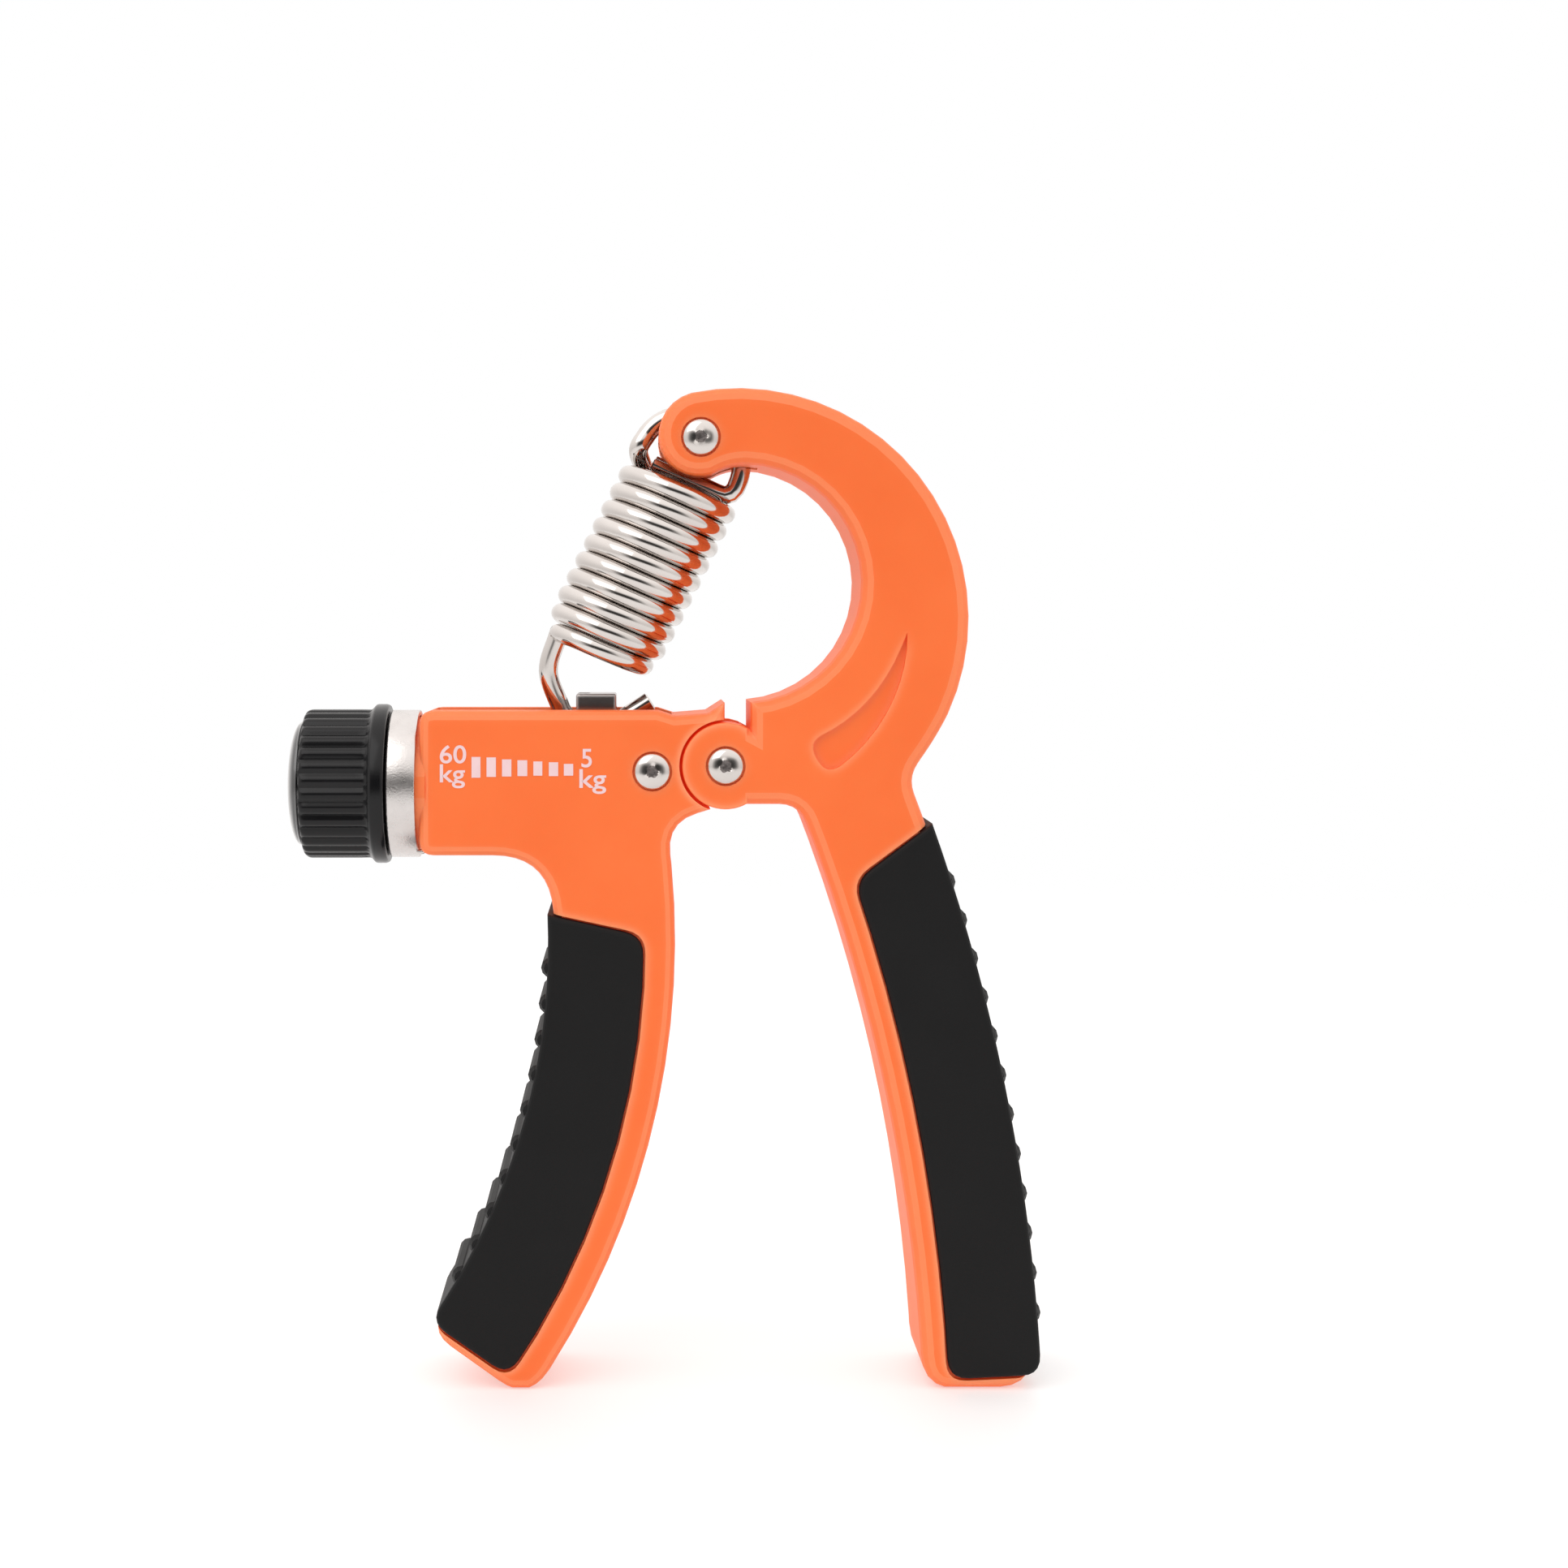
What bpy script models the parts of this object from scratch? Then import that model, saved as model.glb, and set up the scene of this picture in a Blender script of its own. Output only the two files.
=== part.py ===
"""Adjustable hand grip strengthener: two moulded frames on a pivot, a tension spring and a load screw.

The frames lie in the XZ plane and are extruded along Y. +X points from the knob to the right handle,
+Z points up, and the feet stand on Z = 0. Turning the knob walks the traveller along the screw, which
moves the lower end of the spring. Squeezing turns the right frame about the pivot and stretches it.
"""

import math

import bmesh
import bpy
from mathutils import Matrix, Vector

MM = 0.001

# Frames
FRAME_WIDTH = 20.0 * MM
LEFT_EDGE_ROUND = 1.4 * MM
RIGHT_EDGE_ROUND = 1.8 * MM
EAR_EDGE_ROUND = 0.3 * MM
EAR_INSET = 0.1 * MM
EDGE_RINGS = 2
SEAT_GAP = 0.3 * MM
RUNNING_GAP = 0.2 * MM

# Pivot between the two frames
PIVOT_X = 9.0 * MM
PIVOT_Z = 93.5 * MM
EAR_RADIUS = 6.6 * MM
TONGUE_WIDTH = 10.0 * MM
TONGUE_GAP = 0.35 * MM
EAR_GAP = 0.35 * MM

# Arm of the left frame
ARM_LENGTH = 46.0 * MM
ARM_TOP = 8.3 * MM
ARM_HEIGHT = 21.8 * MM
ARM_DIP = 0.8 * MM
ARM_END_ROUND = 2.2 * MM
LIP_RISE = 1.2 * MM
LIP_RAMP = 2.5 * MM
LIP_GAP = 0.1 * MM
TONGUE_ROOT = 4.0 * MM
TONGUE_NECK_ANGLE = 128.0
CHANNEL_WIDTH = 11.0 * MM
CHANNEL_END_WALL = 1.8 * MM
CHANNEL_RIGHT = 8.0 * MM
CHANNEL_CLEARANCE = 0.5 * MM

# Handles: each is a band of constant width about a bend circle
LEFT_BEND_RADIUS = 110.4 * MM
LEFT_HANDLE_WIDTH = 18.2 * MM
LEFT_HANDLE_X = -7.75 * MM
LEFT_HANDLE_Z = 72.0 * MM
LEFT_HANDLE_LEAN = 2.5
LEFT_FOOT_SINK = 2.1 * MM
RIGHT_BEND_RADIUS = 278.4 * MM
RIGHT_HANDLE_WIDTH = 16.8 * MM
RIGHT_HANDLE_X = 30.6 * MM
RIGHT_HANDLE_Z = 83.6 * MM
RIGHT_HANDLE_LEAN = 20.0
RIGHT_FOOT_SINK = 0.5 * MM
CROTCH_TIP_DROP = 5.9 * MM
CROTCH_DROP = 8.6 * MM
CROTCH_FILLET = 4.8 * MM
ARM_FILLET = 8.4 * MM
FOOT_FILLET = 5.5 * MM

# Curved arm of the right frame: a crescent between two circles
HOOK_OUTER_RADIUS = 34.7 * MM
HOOK_OUTER_X = 10.95 * MM
HOOK_OUTER_Z = 115.65 * MM
HOOK_INNER_RADIUS = 17.95 * MM
HOOK_INNER_X = 11.5 * MM
HOOK_INNER_Z = 120.95 * MM
STOP_OFFSET = 3.8 * MM
UNDERSIDE_DROP = 5.8 * MM
NECK_ANGLE = -31.0
NECK_DROP = 1.8 * MM
NECK_FILLET = 2.6 * MM
UNDER_FILLET = 3.0 * MM
NOTCH_FILLET = 2.4 * MM
NOSE_X = 5.3 * MM
NOSE_Z = 142.85 * MM
NOSE_LEFT_TRIM = 0.6 * MM
NOSE_LOW_TRIM = 1.25 * MM
NOSE_SLOT_WIDTH = 3.9 * MM
NOSE_SLOT_TOP_REACH = 5.1 * MM
NOSE_SLOT_SHOULDER = 3.5 * MM
NOSE_SLOT_LOW_REACH = 8.9 * MM
DROP_TIP_ANGLE = -4.8
DROP_END_ANGLE = -61.0
DROP_RADIUS = 25.4 * MM
DROP_WIDTH = 6.0 * MM
DROP_DEPTH = 0.8 * MM

# Rubber covers, let into the handles
GRIP_WALL = 1.8 * MM
GRIP_STAND = 0.9 * MM
GRIP_SIDE_STAND = 0.4 * MM
GRIP_SIDE_WALL = 1.2 * MM
GRIP_CORNER = 3.0 * MM
GRIP_EDGE = 0.7 * MM
BUMP_WIDTH = 2.9 * MM
LEFT_BUMPS = 10
LEFT_BUMP_HEIGHT = 1.0 * MM
RIGHT_BUMPS = 12
RIGHT_BUMP_HEIGHT = 0.7 * MM
LEFT_GRIP_STRIP = 4.7 * MM
LEFT_GRIP_TOP = 2.3
LEFT_GRIP_SLANT = 1.9
LEFT_GRIP_FOOT_MARGIN = 1.6 * MM
RIGHT_GRIP_STRIP = 3.8 * MM
RIGHT_GRIP_TOP = 19.6
RIGHT_GRIP_SLANT = 0.9
RIGHT_GRIP_FOOT_MARGIN = 1.9 * MM

# Rivets
RIVET_HEAD_RADIUS = 2.7 * MM
RIVET_HEAD_HEIGHT = 1.0 * MM
RIVET_RECESS = 0.4 * MM
RIVET_DIMPLE_RADIUS = 0.9 * MM
RIVET_DIMPLE_DEPTH = 0.35 * MM
PIVOT_SHANK_RADIUS = 1.9 * MM
ARM_SHANK_RADIUS = 1.6 * MM
SPRING_SHANK_RADIUS = 1.6 * MM
SLEEVE_WALL = 0.5 * MM
ARM_RIVET_LEFT = 11.0 * MM
ARM_RIVET_DROP = 0.8 * MM

# Load screw, its bearings and the traveller
SCREW_DROP = 3.2 * MM
SCREW_RADIUS = 2.9 * MM
SCREW_JOURNAL_RADIUS = 2.0 * MM
SCREW_NECK_RADIUS = 2.4 * MM
SCREW_END_STOP = 2.3 * MM
BUSH_RADIUS = 3.6 * MM
BUSH_FLANGE_RADIUS = 4.9 * MM
BUSH_FLANGE = 0.8 * MM
CLIP_RADIUS = 4.4 * MM
CLIP_THICKNESS = 0.7 * MM
CLIP_GROOVE = 1.9 * MM
BEARING_LENGTH = 7.0 * MM
BEARING_HEIGHT = 11.3 * MM
TRAVELLER_LENGTH = 6.1 * MM
TRAVELLER_X = -10.5 * MM
NUT_WIDTH = 7.6 * MM
NUT_HEIGHT = 8.8 * MM
STRAP_WALL = 1.0 * MM
STRAP_RISE = 2.4 * MM
STRAP_CROWN = 2.0 * MM
STRAP_NOTCH = 2.0 * MM
STRAP_EDGE = 0.3 * MM
BLOCK_EDGE = 0.4 * MM

# Knob, collar and what fixes them
COLLAR_LENGTH = 4.6 * MM
COLLAR_RADIUS = 11.3 * MM
COLLAR_WALL = 0.8 * MM
KNOB_RADIUS = 11.4 * MM
KNOB_FLANGE_RADIUS = 12.2 * MM
KNOB_FLANGE = 2.8 * MM
KNOB_LENGTH = 12.9 * MM
KNOB_NECK_DEPTH = 0.2 * MM
KNOB_WALL = 2.6 * MM
KNOB_WEB = 3.6 * MM
KNOB_HUB_RADIUS = 4.6 * MM
KNOB_HUB_LENGTH = 2.4 * MM
KNOB_FLUTES = 32
KNOB_FLUTE_DEPTH = 0.35 * MM
KNOB_CORNER = 0.8 * MM
WASHER_RADIUS = 6.5 * MM
WASHER_THICKNESS = 0.8 * MM
CAP_RADIUS = 9.6 * MM
CAP_DOME = 2.3 * MM
CAP_RIM = 0.4 * MM
CAP_PLUG_DEPTH = 2.2 * MM
CAP_PLUG_WALL = 1.4 * MM
FIXING_HEAD_RADIUS = 3.4 * MM
FIXING_HEAD_HEIGHT = 1.8 * MM
FIXING_SHANK_RADIUS = 1.2 * MM
FIXING_SHANK_LENGTH = 6.0 * MM
SLOT_RADIUS = 1.5 * MM
SLOT_DEPTH = 1.0 * MM

# Spring: one wire with a closed loop above and an open hook below
WIRE_RADIUS = 1.28 * MM
COIL_RADIUS = 8.05 * MM
COIL_PITCH = 2.94 * MM
COIL_TURNS = 10
COIL_STEPS = 12
COIL_START = 0.09
COIL_END = 9.9
COIL_TILT = 26.8
COIL_DROP = 4.5 * MM
COIL_ASIDE = 0.4 * MM
COIL_TAPER = 1.3 * MM
COIL_TAPER_TURNS = 2.0
LOOP_TILT = 24.0
LOOP_LONG = 8.0 * MM
LOOP_SHORT = 7.4 * MM
LOOP_BAR_DROP = 2.5 * MM
LOOP_BAR_END = 5.2 * MM
HOOK_RADIUS = 5.9 * MM
HOOK_HANG = 5.6 * MM
HOOK_BACK = 0.25 * MM
HOOK_TAIL = 6.6 * MM
HOOK_TAIL_RISE = 32.0
HOOK_LEAD = 0.06
HOOK_BULGE = 1.8 * MM

# Colours, roughness and metallic value of each finish
ORANGE = ((1.0, 0.18, 0.052, 1.0), 0.42, 0.0)
RUBBER = ((0.018, 0.018, 0.019, 1.0), 0.75, 0.0)
KNOB_BLACK = ((0.016, 0.016, 0.018, 1.0), 0.38, 0.0)
NYLON = ((0.75, 0.74, 0.70, 1.0), 0.5, 0.0)
NICKEL = ((0.72, 0.70, 0.67, 1.0), 0.18, 1.0)
SATIN_STEEL = ((0.66, 0.65, 0.64, 1.0), 0.34, 1.0)
ZINC_STEEL = ((0.55, 0.55, 0.56, 1.0), 0.3, 1.0)
BRASS = ((0.62, 0.47, 0.2, 1.0), 0.3, 1.0)

# Places that follow from the sizes above
PIVOT = (PIVOT_X, PIVOT_Z)
NOSE = (NOSE_X, NOSE_Z)
HOOK_OUTER = (HOOK_OUTER_X, HOOK_OUTER_Z)
HOOK_INNER = (HOOK_INNER_X, HOOK_INNER_Z)
ARM_LEFT = PIVOT_X - ARM_LENGTH
ARM_TOP_Z = PIVOT_Z + ARM_TOP
ARM_BOTTOM_Z = ARM_TOP_Z - ARM_HEIGHT
SCREW_Z = PIVOT_Z - SCREW_DROP
CHANNEL_LEFT = ARM_LEFT + CHANNEL_END_WALL
CHANNEL_END = PIVOT_X - CHANNEL_RIGHT
CHANNEL_FLOOR_Z = SCREW_Z - NUT_HEIGHT / 2 - SEAT_GAP - STRAP_WALL - CHANNEL_CLEARANCE
ARM_RIVET = (PIVOT_X - ARM_RIVET_LEFT, PIVOT_Z - ARM_RIVET_DROP)
COLLAR_LEFT = ARM_LEFT - SEAT_GAP - COLLAR_LENGTH
KNOB_RIGHT = COLLAR_LEFT - SEAT_GAP
KNOB_LEFT = KNOB_RIGHT - KNOB_LENGTH
WASHER_SEAT = WASHER_THICKNESS + SEAT_GAP
HUB_LEFT = KNOB_RIGHT - WASHER_SEAT - KNOB_WEB - KNOB_HUB_LENGTH
JOURNAL_END = ARM_RIVET[0] - ARM_SHANK_RADIUS - 3 * SEAT_GAP
STRAP_TOP_Z = ARM_TOP_Z + STRAP_RISE
SLEEVE_RADIUS = SPRING_SHANK_RADIUS + RUNNING_GAP / 2 + SLEEVE_WALL


def tilted(degrees):
    """The across and up directions of something that leans to the right by an angle."""
    turn = math.radians(degrees)
    return Vector((math.cos(turn), 0, -math.sin(turn))), Vector((math.sin(turn), 0, math.cos(turn)))


LOOP_ACROSS, LOOP_UP = tilted(LOOP_TILT)
COIL_ACROSS, COIL_UP = tilted(COIL_TILT)
LOOP_HANG = LOOP_SHORT - WIRE_RADIUS - SLEEVE_RADIUS - SEAT_GAP
LOOP_CENTRE = Vector((NOSE_X, 0, NOSE_Z)) - LOOP_HANG * LOOP_UP
COIL_TOP = LOOP_CENTRE - COIL_DROP * COIL_UP + COIL_ASIDE * COIL_ACROSS
HOOK_SEAT = Vector((TRAVELLER_X, 0, STRAP_TOP_Z - HOOK_HANG))


def arc(centre, radius, start, end, count):
    """Points on a circle from one angle to another, in degrees."""
    steps = [math.radians(start + (end - start) * i / (count - 1)) for i in range(count)]
    return [(centre[0] + radius * math.cos(a), centre[1] + radius * math.sin(a)) for a in steps]


def soften(points, corner, reach, count=5):
    """Replace the corner nearest to a place by a curve that starts and ends `reach` away from it."""
    middle = min(range(len(points)), key=lambda i: math.dist(points[i], corner))

    def walk(step):
        left, index = reach, middle
        while True:
            here, there = points[index], points[(index + step) % len(points)]
            length = math.dist(here, there)
            if length >= left:
                share = left / length
                place = tuple(a + (b - a) * share for a, b in zip(here, there))
                return place, (index + step) % len(points)
            left -= length
            index = (index + step) % len(points)

    before, last = walk(-1)
    after, first = walk(1)
    tip = points[middle]
    bend = []
    for i in range(count + 1):
        t = i / count
        one, two, three = (1 - t) ** 2, 2 * t * (1 - t), t * t
        bend.append(tuple(one * a + two * b + three * c for a, b, c in zip(before, tip, after)))
    kept, index = [], first
    while index != last:
        kept.append(points[index])
        index = (index + 1) % len(points)
    kept.append(points[last])
    return bend + kept


def new_object(name, mesh, collection):
    """An object in one of the two collections."""
    item = bpy.data.objects.new(name, mesh)
    collection.objects.link(item)
    if collection == cutters:
        item.hide_render = True
        item.display_type = "WIRE"
    return item


def smooth(item, angle=35.0):
    """Smooth shading up to an angle."""
    item.data.shade_smooth()
    item.data.set_sharp_from_angle(angle=math.radians(angle))


def plate(name, outline, depth, collection, edge=0.0):
    """A flat outline in XZ, extruded evenly about Y = 0, with edges rounded by `edge`."""
    curve = bpy.data.curves.new(name, "CURVE")
    curve.dimensions = "2D"
    curve.fill_mode = "BOTH"
    curve.extrude = depth / 2 - edge
    curve.bevel_depth = edge
    curve.bevel_resolution = EDGE_RINGS
    curve.offset = -edge
    spline = curve.splines.new("POLY")
    spline.points.add(len(outline) - 1)
    for point, (x, z) in zip(spline.points, outline):
        point.co = (x, z, 0.0, 1.0)
    spline.use_cyclic_u = True
    return from_curve(name, curve, Matrix.Rotation(math.radians(90.0), 4, "X"), collection)


def from_curve(name, curve, placing, collection):
    """A closed mesh object from a curve with loose caps."""
    guide = bpy.data.objects.new(name + "_curve", curve)
    scene_collection.objects.link(guide)
    guide.matrix_world = placing
    graph = bpy.context.evaluated_depsgraph_get()
    mesh = bpy.data.meshes.new_from_object(guide.evaluated_get(graph))
    mesh.transform(placing)
    shape = bmesh.new()
    shape.from_mesh(mesh)
    bmesh.ops.remove_doubles(shape, verts=shape.verts, dist=0.00001)
    bmesh.ops.recalc_face_normals(shape, faces=shape.faces)
    shape.to_mesh(mesh)
    shape.free()
    bpy.data.objects.remove(guide)
    return new_object(name, mesh, collection)


def tube(name, points, radius, collection):
    """A round wire through a list of points."""
    curve = bpy.data.curves.new(name, "CURVE")
    curve.dimensions = "3D"
    curve.bevel_depth = radius
    curve.bevel_resolution = 2
    curve.use_fill_caps = True
    spline = curve.splines.new("POLY")
    spline.points.add(len(points) - 1)
    for point, place in zip(spline.points, points):
        point.co = (*place, 1.0)
    return from_curve(name, curve, Matrix.Identity(4), collection)


def turned(name, profile, axis, place, collection, steps=32):
    """A closed body turned about X or Y from a profile of (along, radius) pairs, `along` from `place`."""
    mesh = bpy.data.meshes.new(name)
    shape = bmesh.new()
    corners = [shape.verts.new((radius, 0.0, along)) for along, radius in profile]
    for first, second in zip(corners, corners[1:]):
        shape.edges.new((first, second))
    if min(radius for _, radius in profile) > 0.0:
        shape.edges.new((corners[-1], corners[0]))
    shape.to_mesh(mesh)
    shape.free()
    item = new_object(name, mesh, collection)
    screw = item.modifiers.new("turn", "SCREW")
    screw.steps = steps
    screw.render_steps = steps
    screw.use_merge_vertices = True
    screw.merge_threshold = 0.00001
    turn = {
        "X": Matrix.Rotation(math.radians(90.0), 4, "Y"),
        "Y": Matrix.Rotation(math.radians(-90.0), 4, "X"),
    }
    apply_shape(item, Matrix.Translation(place) @ turn[axis])
    return item


def apply_shape(item, placing=None):
    """Turn the modifiers into mesh, moved by `placing`, with faces pointing out."""
    graph = bpy.context.evaluated_depsgraph_get()
    mesh = bpy.data.meshes.new_from_object(item.evaluated_get(graph))
    item.modifiers.clear()
    if placing is not None:
        mesh.transform(placing)
    shape = bmesh.new()
    shape.from_mesh(mesh)
    bmesh.ops.remove_doubles(shape, verts=shape.verts, dist=0.000001)
    bmesh.ops.recalc_face_normals(shape, faces=shape.faces)
    shape.to_mesh(mesh)
    shape.free()
    item.data = mesh


def box(name, low, high, collection, edge=0.0):
    """A box between two corners."""
    mesh = bpy.data.meshes.new(name)
    shape = bmesh.new()
    bmesh.ops.create_cube(shape, size=1.0)
    size = [b - a for a, b in zip(low, high)]
    middle = [(a + b) / 2 for a, b in zip(low, high)]
    bmesh.ops.scale(shape, vec=size, verts=shape.verts)
    bmesh.ops.translate(shape, vec=middle, verts=shape.verts)
    shape.to_mesh(mesh)
    shape.free()
    item = new_object(name, mesh, collection)
    if edge:
        rounding = item.modifiers.new("edge", "BEVEL")
        rounding.width = edge
        rounding.segments = 2
        apply_shape(item)
    return item


def rod(name, start, end, radius, collection, steps=32):
    """A cylinder between two points."""
    mesh = bpy.data.meshes.new(name)
    shape = bmesh.new()
    along = Vector(end) - Vector(start)
    turn = Vector((0, 0, 1)).rotation_difference(along.normalized()).to_matrix().to_4x4()
    placing = Matrix.Translation((Vector(start) + Vector(end)) / 2) @ turn
    bmesh.ops.create_cone(
        shape,
        cap_ends=True,
        segments=steps,
        radius1=radius,
        radius2=radius,
        depth=along.length,
        matrix=placing,
    )
    shape.to_mesh(mesh)
    shape.free()
    return new_object(name, mesh, collection)


def combine(item, tool, operation):
    """A live Boolean of one object with a tool in the cutters' collection."""
    change = item.modifiers.new(tool.name, "BOOLEAN")
    change.operation = operation
    change.solver = "EXACT"
    change.object = tool


def cut(item, *tools):
    for tool in tools:
        combine(item, tool, "DIFFERENCE")


def join(item, *tools):
    for tool in tools:
        combine(item, tool, "UNION")


def finish(item, look, parent=None):
    """Colour, shading and the empty that carries the piece."""
    colour, roughness, metallic = look
    material = bpy.data.materials.new(item.name)
    material.use_nodes = True
    shader = material.node_tree.nodes["Principled BSDF"]
    shader.inputs["Base Color"].default_value = colour
    shader.inputs["Roughness"].default_value = roughness
    shader.inputs["Metallic"].default_value = metallic
    item.data.materials.clear()
    item.data.materials.append(material)
    smooth(item)
    if parent is not None:
        item.data.transform(Matrix.Translation(-world_place(parent)))
        item.parent = parent


def world_place(empty):
    """Where an empty stands, through its parents."""
    place = Vector(empty.location)
    while empty.parent is not None:
        empty = empty.parent
        place += empty.location
    return place


def joint_empty(name, place, parent=None):
    """An empty on a joint's axis."""
    empty = bpy.data.objects.new(name, None)
    empty.empty_display_size = 0.005
    parts.objects.link(empty)
    empty.location = place
    if parent is not None:
        empty.parent = parent
        empty.location = place - world_place(parent)
    return empty


class Handle:
    """A bent handle: a band of constant width about a circle, from its shoulder down to its foot.

    `side` is +1 where the face that looks at the other handle lies outside the circle, -1 where inside.
    """

    def __init__(self, side, bend, width, x, z, lean, sink):
        turn = math.radians(lean)
        self.side = side
        self.bend = bend
        self.half = width / 2
        self.centre = (x - bend * math.cos(turn), z - bend * math.sin(turn))
        self.foot = math.degrees(math.asin((-sink - self.centre[1]) / (bend + self.inner(0.0))))

    def inner(self, inset):
        """Offset of a line that lies `inset` inside the face towards the other handle."""
        return self.side * (self.half - inset)

    def outer(self, inset):
        """Offset of a line that lies `inset` inside the face away from the other handle."""
        return -self.side * (self.half - inset)

    def at(self, angle, offset):
        """The point at an angle of the bend circle, `offset` outside it."""
        turn = math.radians(angle)
        reach = self.bend + offset
        return (self.centre[0] + reach * math.cos(turn), self.centre[1] + reach * math.sin(turn))

    def run(self, start, end, offset, count=12):
        """Points along the band at one offset."""
        return [self.at(start + (end - start) * i / (count - 1), offset) for i in range(count)]

    def turn_of(self, length):
        """The angle that a length along the bend circle takes."""
        return math.degrees(length / self.bend)

    def angle_at(self, z, offset):
        """The angle at which a line of the band passes a height."""
        return math.degrees(math.asin((z - self.centre[1]) / (self.bend + offset)))


def above_floor(points):
    """The outline cut off level at Z = 0."""
    kept = []
    for here, there in zip(points, points[1:] + points[:1]):
        if here[1] >= 0.0:
            kept.append(here)
        if (here[1] < 0.0) != (there[1] < 0.0):
            share = here[1] / (here[1] - there[1])
            kept.append((here[0] + (there[0] - here[0]) * share, 0.0))
    return kept


def spread(points, nearest=0.15 * MM):
    """The outline without points that nearly coincide."""
    kept = [points[0]]
    for point in points[1:]:
        if math.dist(point, kept[-1]) >= nearest:
            kept.append(point)
    if math.dist(kept[-1], kept[0]) < nearest:
        kept.pop()
    return kept


def circles_meet(first, first_radius, second, second_radius, upper):
    """One of the two points where circles cross: the one further along +X if `upper`."""
    gap = math.dist(first, second)
    along = (gap**2 + first_radius**2 - second_radius**2) / (2 * gap)
    aside = math.sqrt(first_radius**2 - along**2)
    ux, uz = (second[0] - first[0]) / gap, (second[1] - first[1]) / gap
    pair = [
        (first[0] + ux * along - s * uz * aside, first[1] + uz * along + s * ux * aside)
        for s in (-1, 1)
    ]
    return max(pair) if upper else min(pair)


def direction(centre, point):
    """The angle of a point seen from a centre, in degrees."""
    return math.degrees(math.atan2(point[1] - centre[1], point[0] - centre[0]))


# Outlines of the two frames


def left_outline(handle):
    """Arm, lip and handle of the left frame, before the ears' recess is cut."""
    foot_out, foot_in = handle.at(handle.foot, handle.outer(0)), handle.at(handle.foot, handle.inner(0))
    crotch_z = PIVOT_Z - CROTCH_DROP
    crotch = handle.angle_at(crotch_z, handle.inner(0))
    shoulder = handle.angle_at(ARM_BOTTOM_Z, handle.outer(0))
    corner_in = handle.at(crotch, handle.inner(0))
    corner_out = handle.at(shoulder, handle.outer(0))
    lip_x = PIVOT_X - LIP_GAP
    dip_x = CHANNEL_END + RIVET_RECESS
    outline = [(ARM_LEFT, ARM_BOTTOM_Z), (ARM_LEFT, ARM_TOP_Z)]
    outline += [(dip_x - LIP_RAMP, ARM_TOP_Z), (dip_x, ARM_TOP_Z - ARM_DIP)]
    outline += [(lip_x - LIP_RAMP, ARM_TOP_Z - ARM_DIP / 2), (lip_x, ARM_TOP_Z + LIP_RISE)]
    outline += [(lip_x, PIVOT_Z - CROTCH_TIP_DROP)]
    outline += handle.run(crotch, handle.foot, handle.inner(0), 16)
    outline += handle.run(handle.foot, shoulder, handle.outer(0), 16)
    outline = soften(outline, corner_in, CROTCH_FILLET)
    outline = soften(outline, foot_in, FOOT_FILLET, 7)
    outline = soften(outline, foot_out, FOOT_FILLET * 0.7)
    outline = soften(outline, corner_out, ARM_FILLET, 9)
    for corner in ((ARM_LEFT, ARM_BOTTOM_Z), (ARM_LEFT, ARM_TOP_Z)):
        outline = soften(outline, corner, ARM_END_ROUND)
    return spread(above_floor(outline))


def nose_outline(radius, start, end):
    """The round nose, from its notch below, past its left side, to its crown: a little flat below."""
    left_side = -180.0
    outline = []
    for i in range(17):
        angle = start + (end - start) * i / 16
        if angle > left_side:
            low = min(1.0, (angle - left_side) / 90.0)
            trim = NOSE_LEFT_TRIM + (NOSE_LOW_TRIM - NOSE_LEFT_TRIM) * low
        else:
            trim = NOSE_LEFT_TRIM * (angle - end) / (left_side - end)
        outline += arc(NOSE, radius - trim, angle, angle, 2)[:1]
    return outline


def right_outline(handle):
    """Nose, curved arm, ear and handle of the right frame."""
    nose_radius = HOOK_OUTER_RADIUS - math.dist(HOOK_OUTER, NOSE)
    notch = circles_meet(NOSE, nose_radius - NOSE_LOW_TRIM, HOOK_INNER, HOOK_INNER_RADIUS, True)
    crown = direction(HOOK_OUTER, NOSE)
    step_x = PIVOT_X + STOP_OFFSET
    step = math.degrees(math.acos(STOP_OFFSET / EAR_RADIUS))
    under = math.degrees(math.asin(UNDERSIDE_DROP / EAR_RADIUS))
    inner_low = -math.degrees(math.acos((step_x - HOOK_INNER_X) / HOOK_INNER_RADIUS))
    neck_z = PIVOT_Z - NECK_DROP
    neck = handle.angle_at(neck_z, handle.outer(0))
    crotch = handle.angle_at(PIVOT_Z - UNDERSIDE_DROP, handle.inner(0))
    corner_in = handle.at(crotch, handle.inner(0))
    neck_out = handle.at(neck, handle.outer(0))
    foot_out, foot_in = handle.at(handle.foot, handle.outer(0)), handle.at(handle.foot, handle.inner(0))
    outline = nose_outline(nose_radius, direction(NOSE, notch), crown - 360.0)
    outline += arc(HOOK_OUTER, HOOK_OUTER_RADIUS, crown, NECK_ANGLE, 22)[1:]
    outline += handle.run(neck, handle.foot, handle.outer(0), 14)
    outline += handle.run(handle.foot, crotch, handle.inner(0), 14)
    outline += arc(PIVOT, EAR_RADIUS, -under, step - 360.0, 20)
    outline += arc(HOOK_INNER, HOOK_INNER_RADIUS, inner_low, direction(HOOK_INNER, notch), 22)
    hook_end = arc(HOOK_OUTER, HOOK_OUTER_RADIUS, NECK_ANGLE, 0.0, 2)[0]
    outline = soften(outline, hook_end, NECK_FILLET)
    outline = soften(outline, neck_out, NECK_FILLET)
    outline = soften(outline, foot_out, FOOT_FILLET)
    outline = soften(outline, foot_in, FOOT_FILLET)
    outline = soften(outline, corner_in, UNDER_FILLET)
    outline = soften(outline, notch, NOTCH_FILLET)
    return spread(above_floor(outline))


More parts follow.
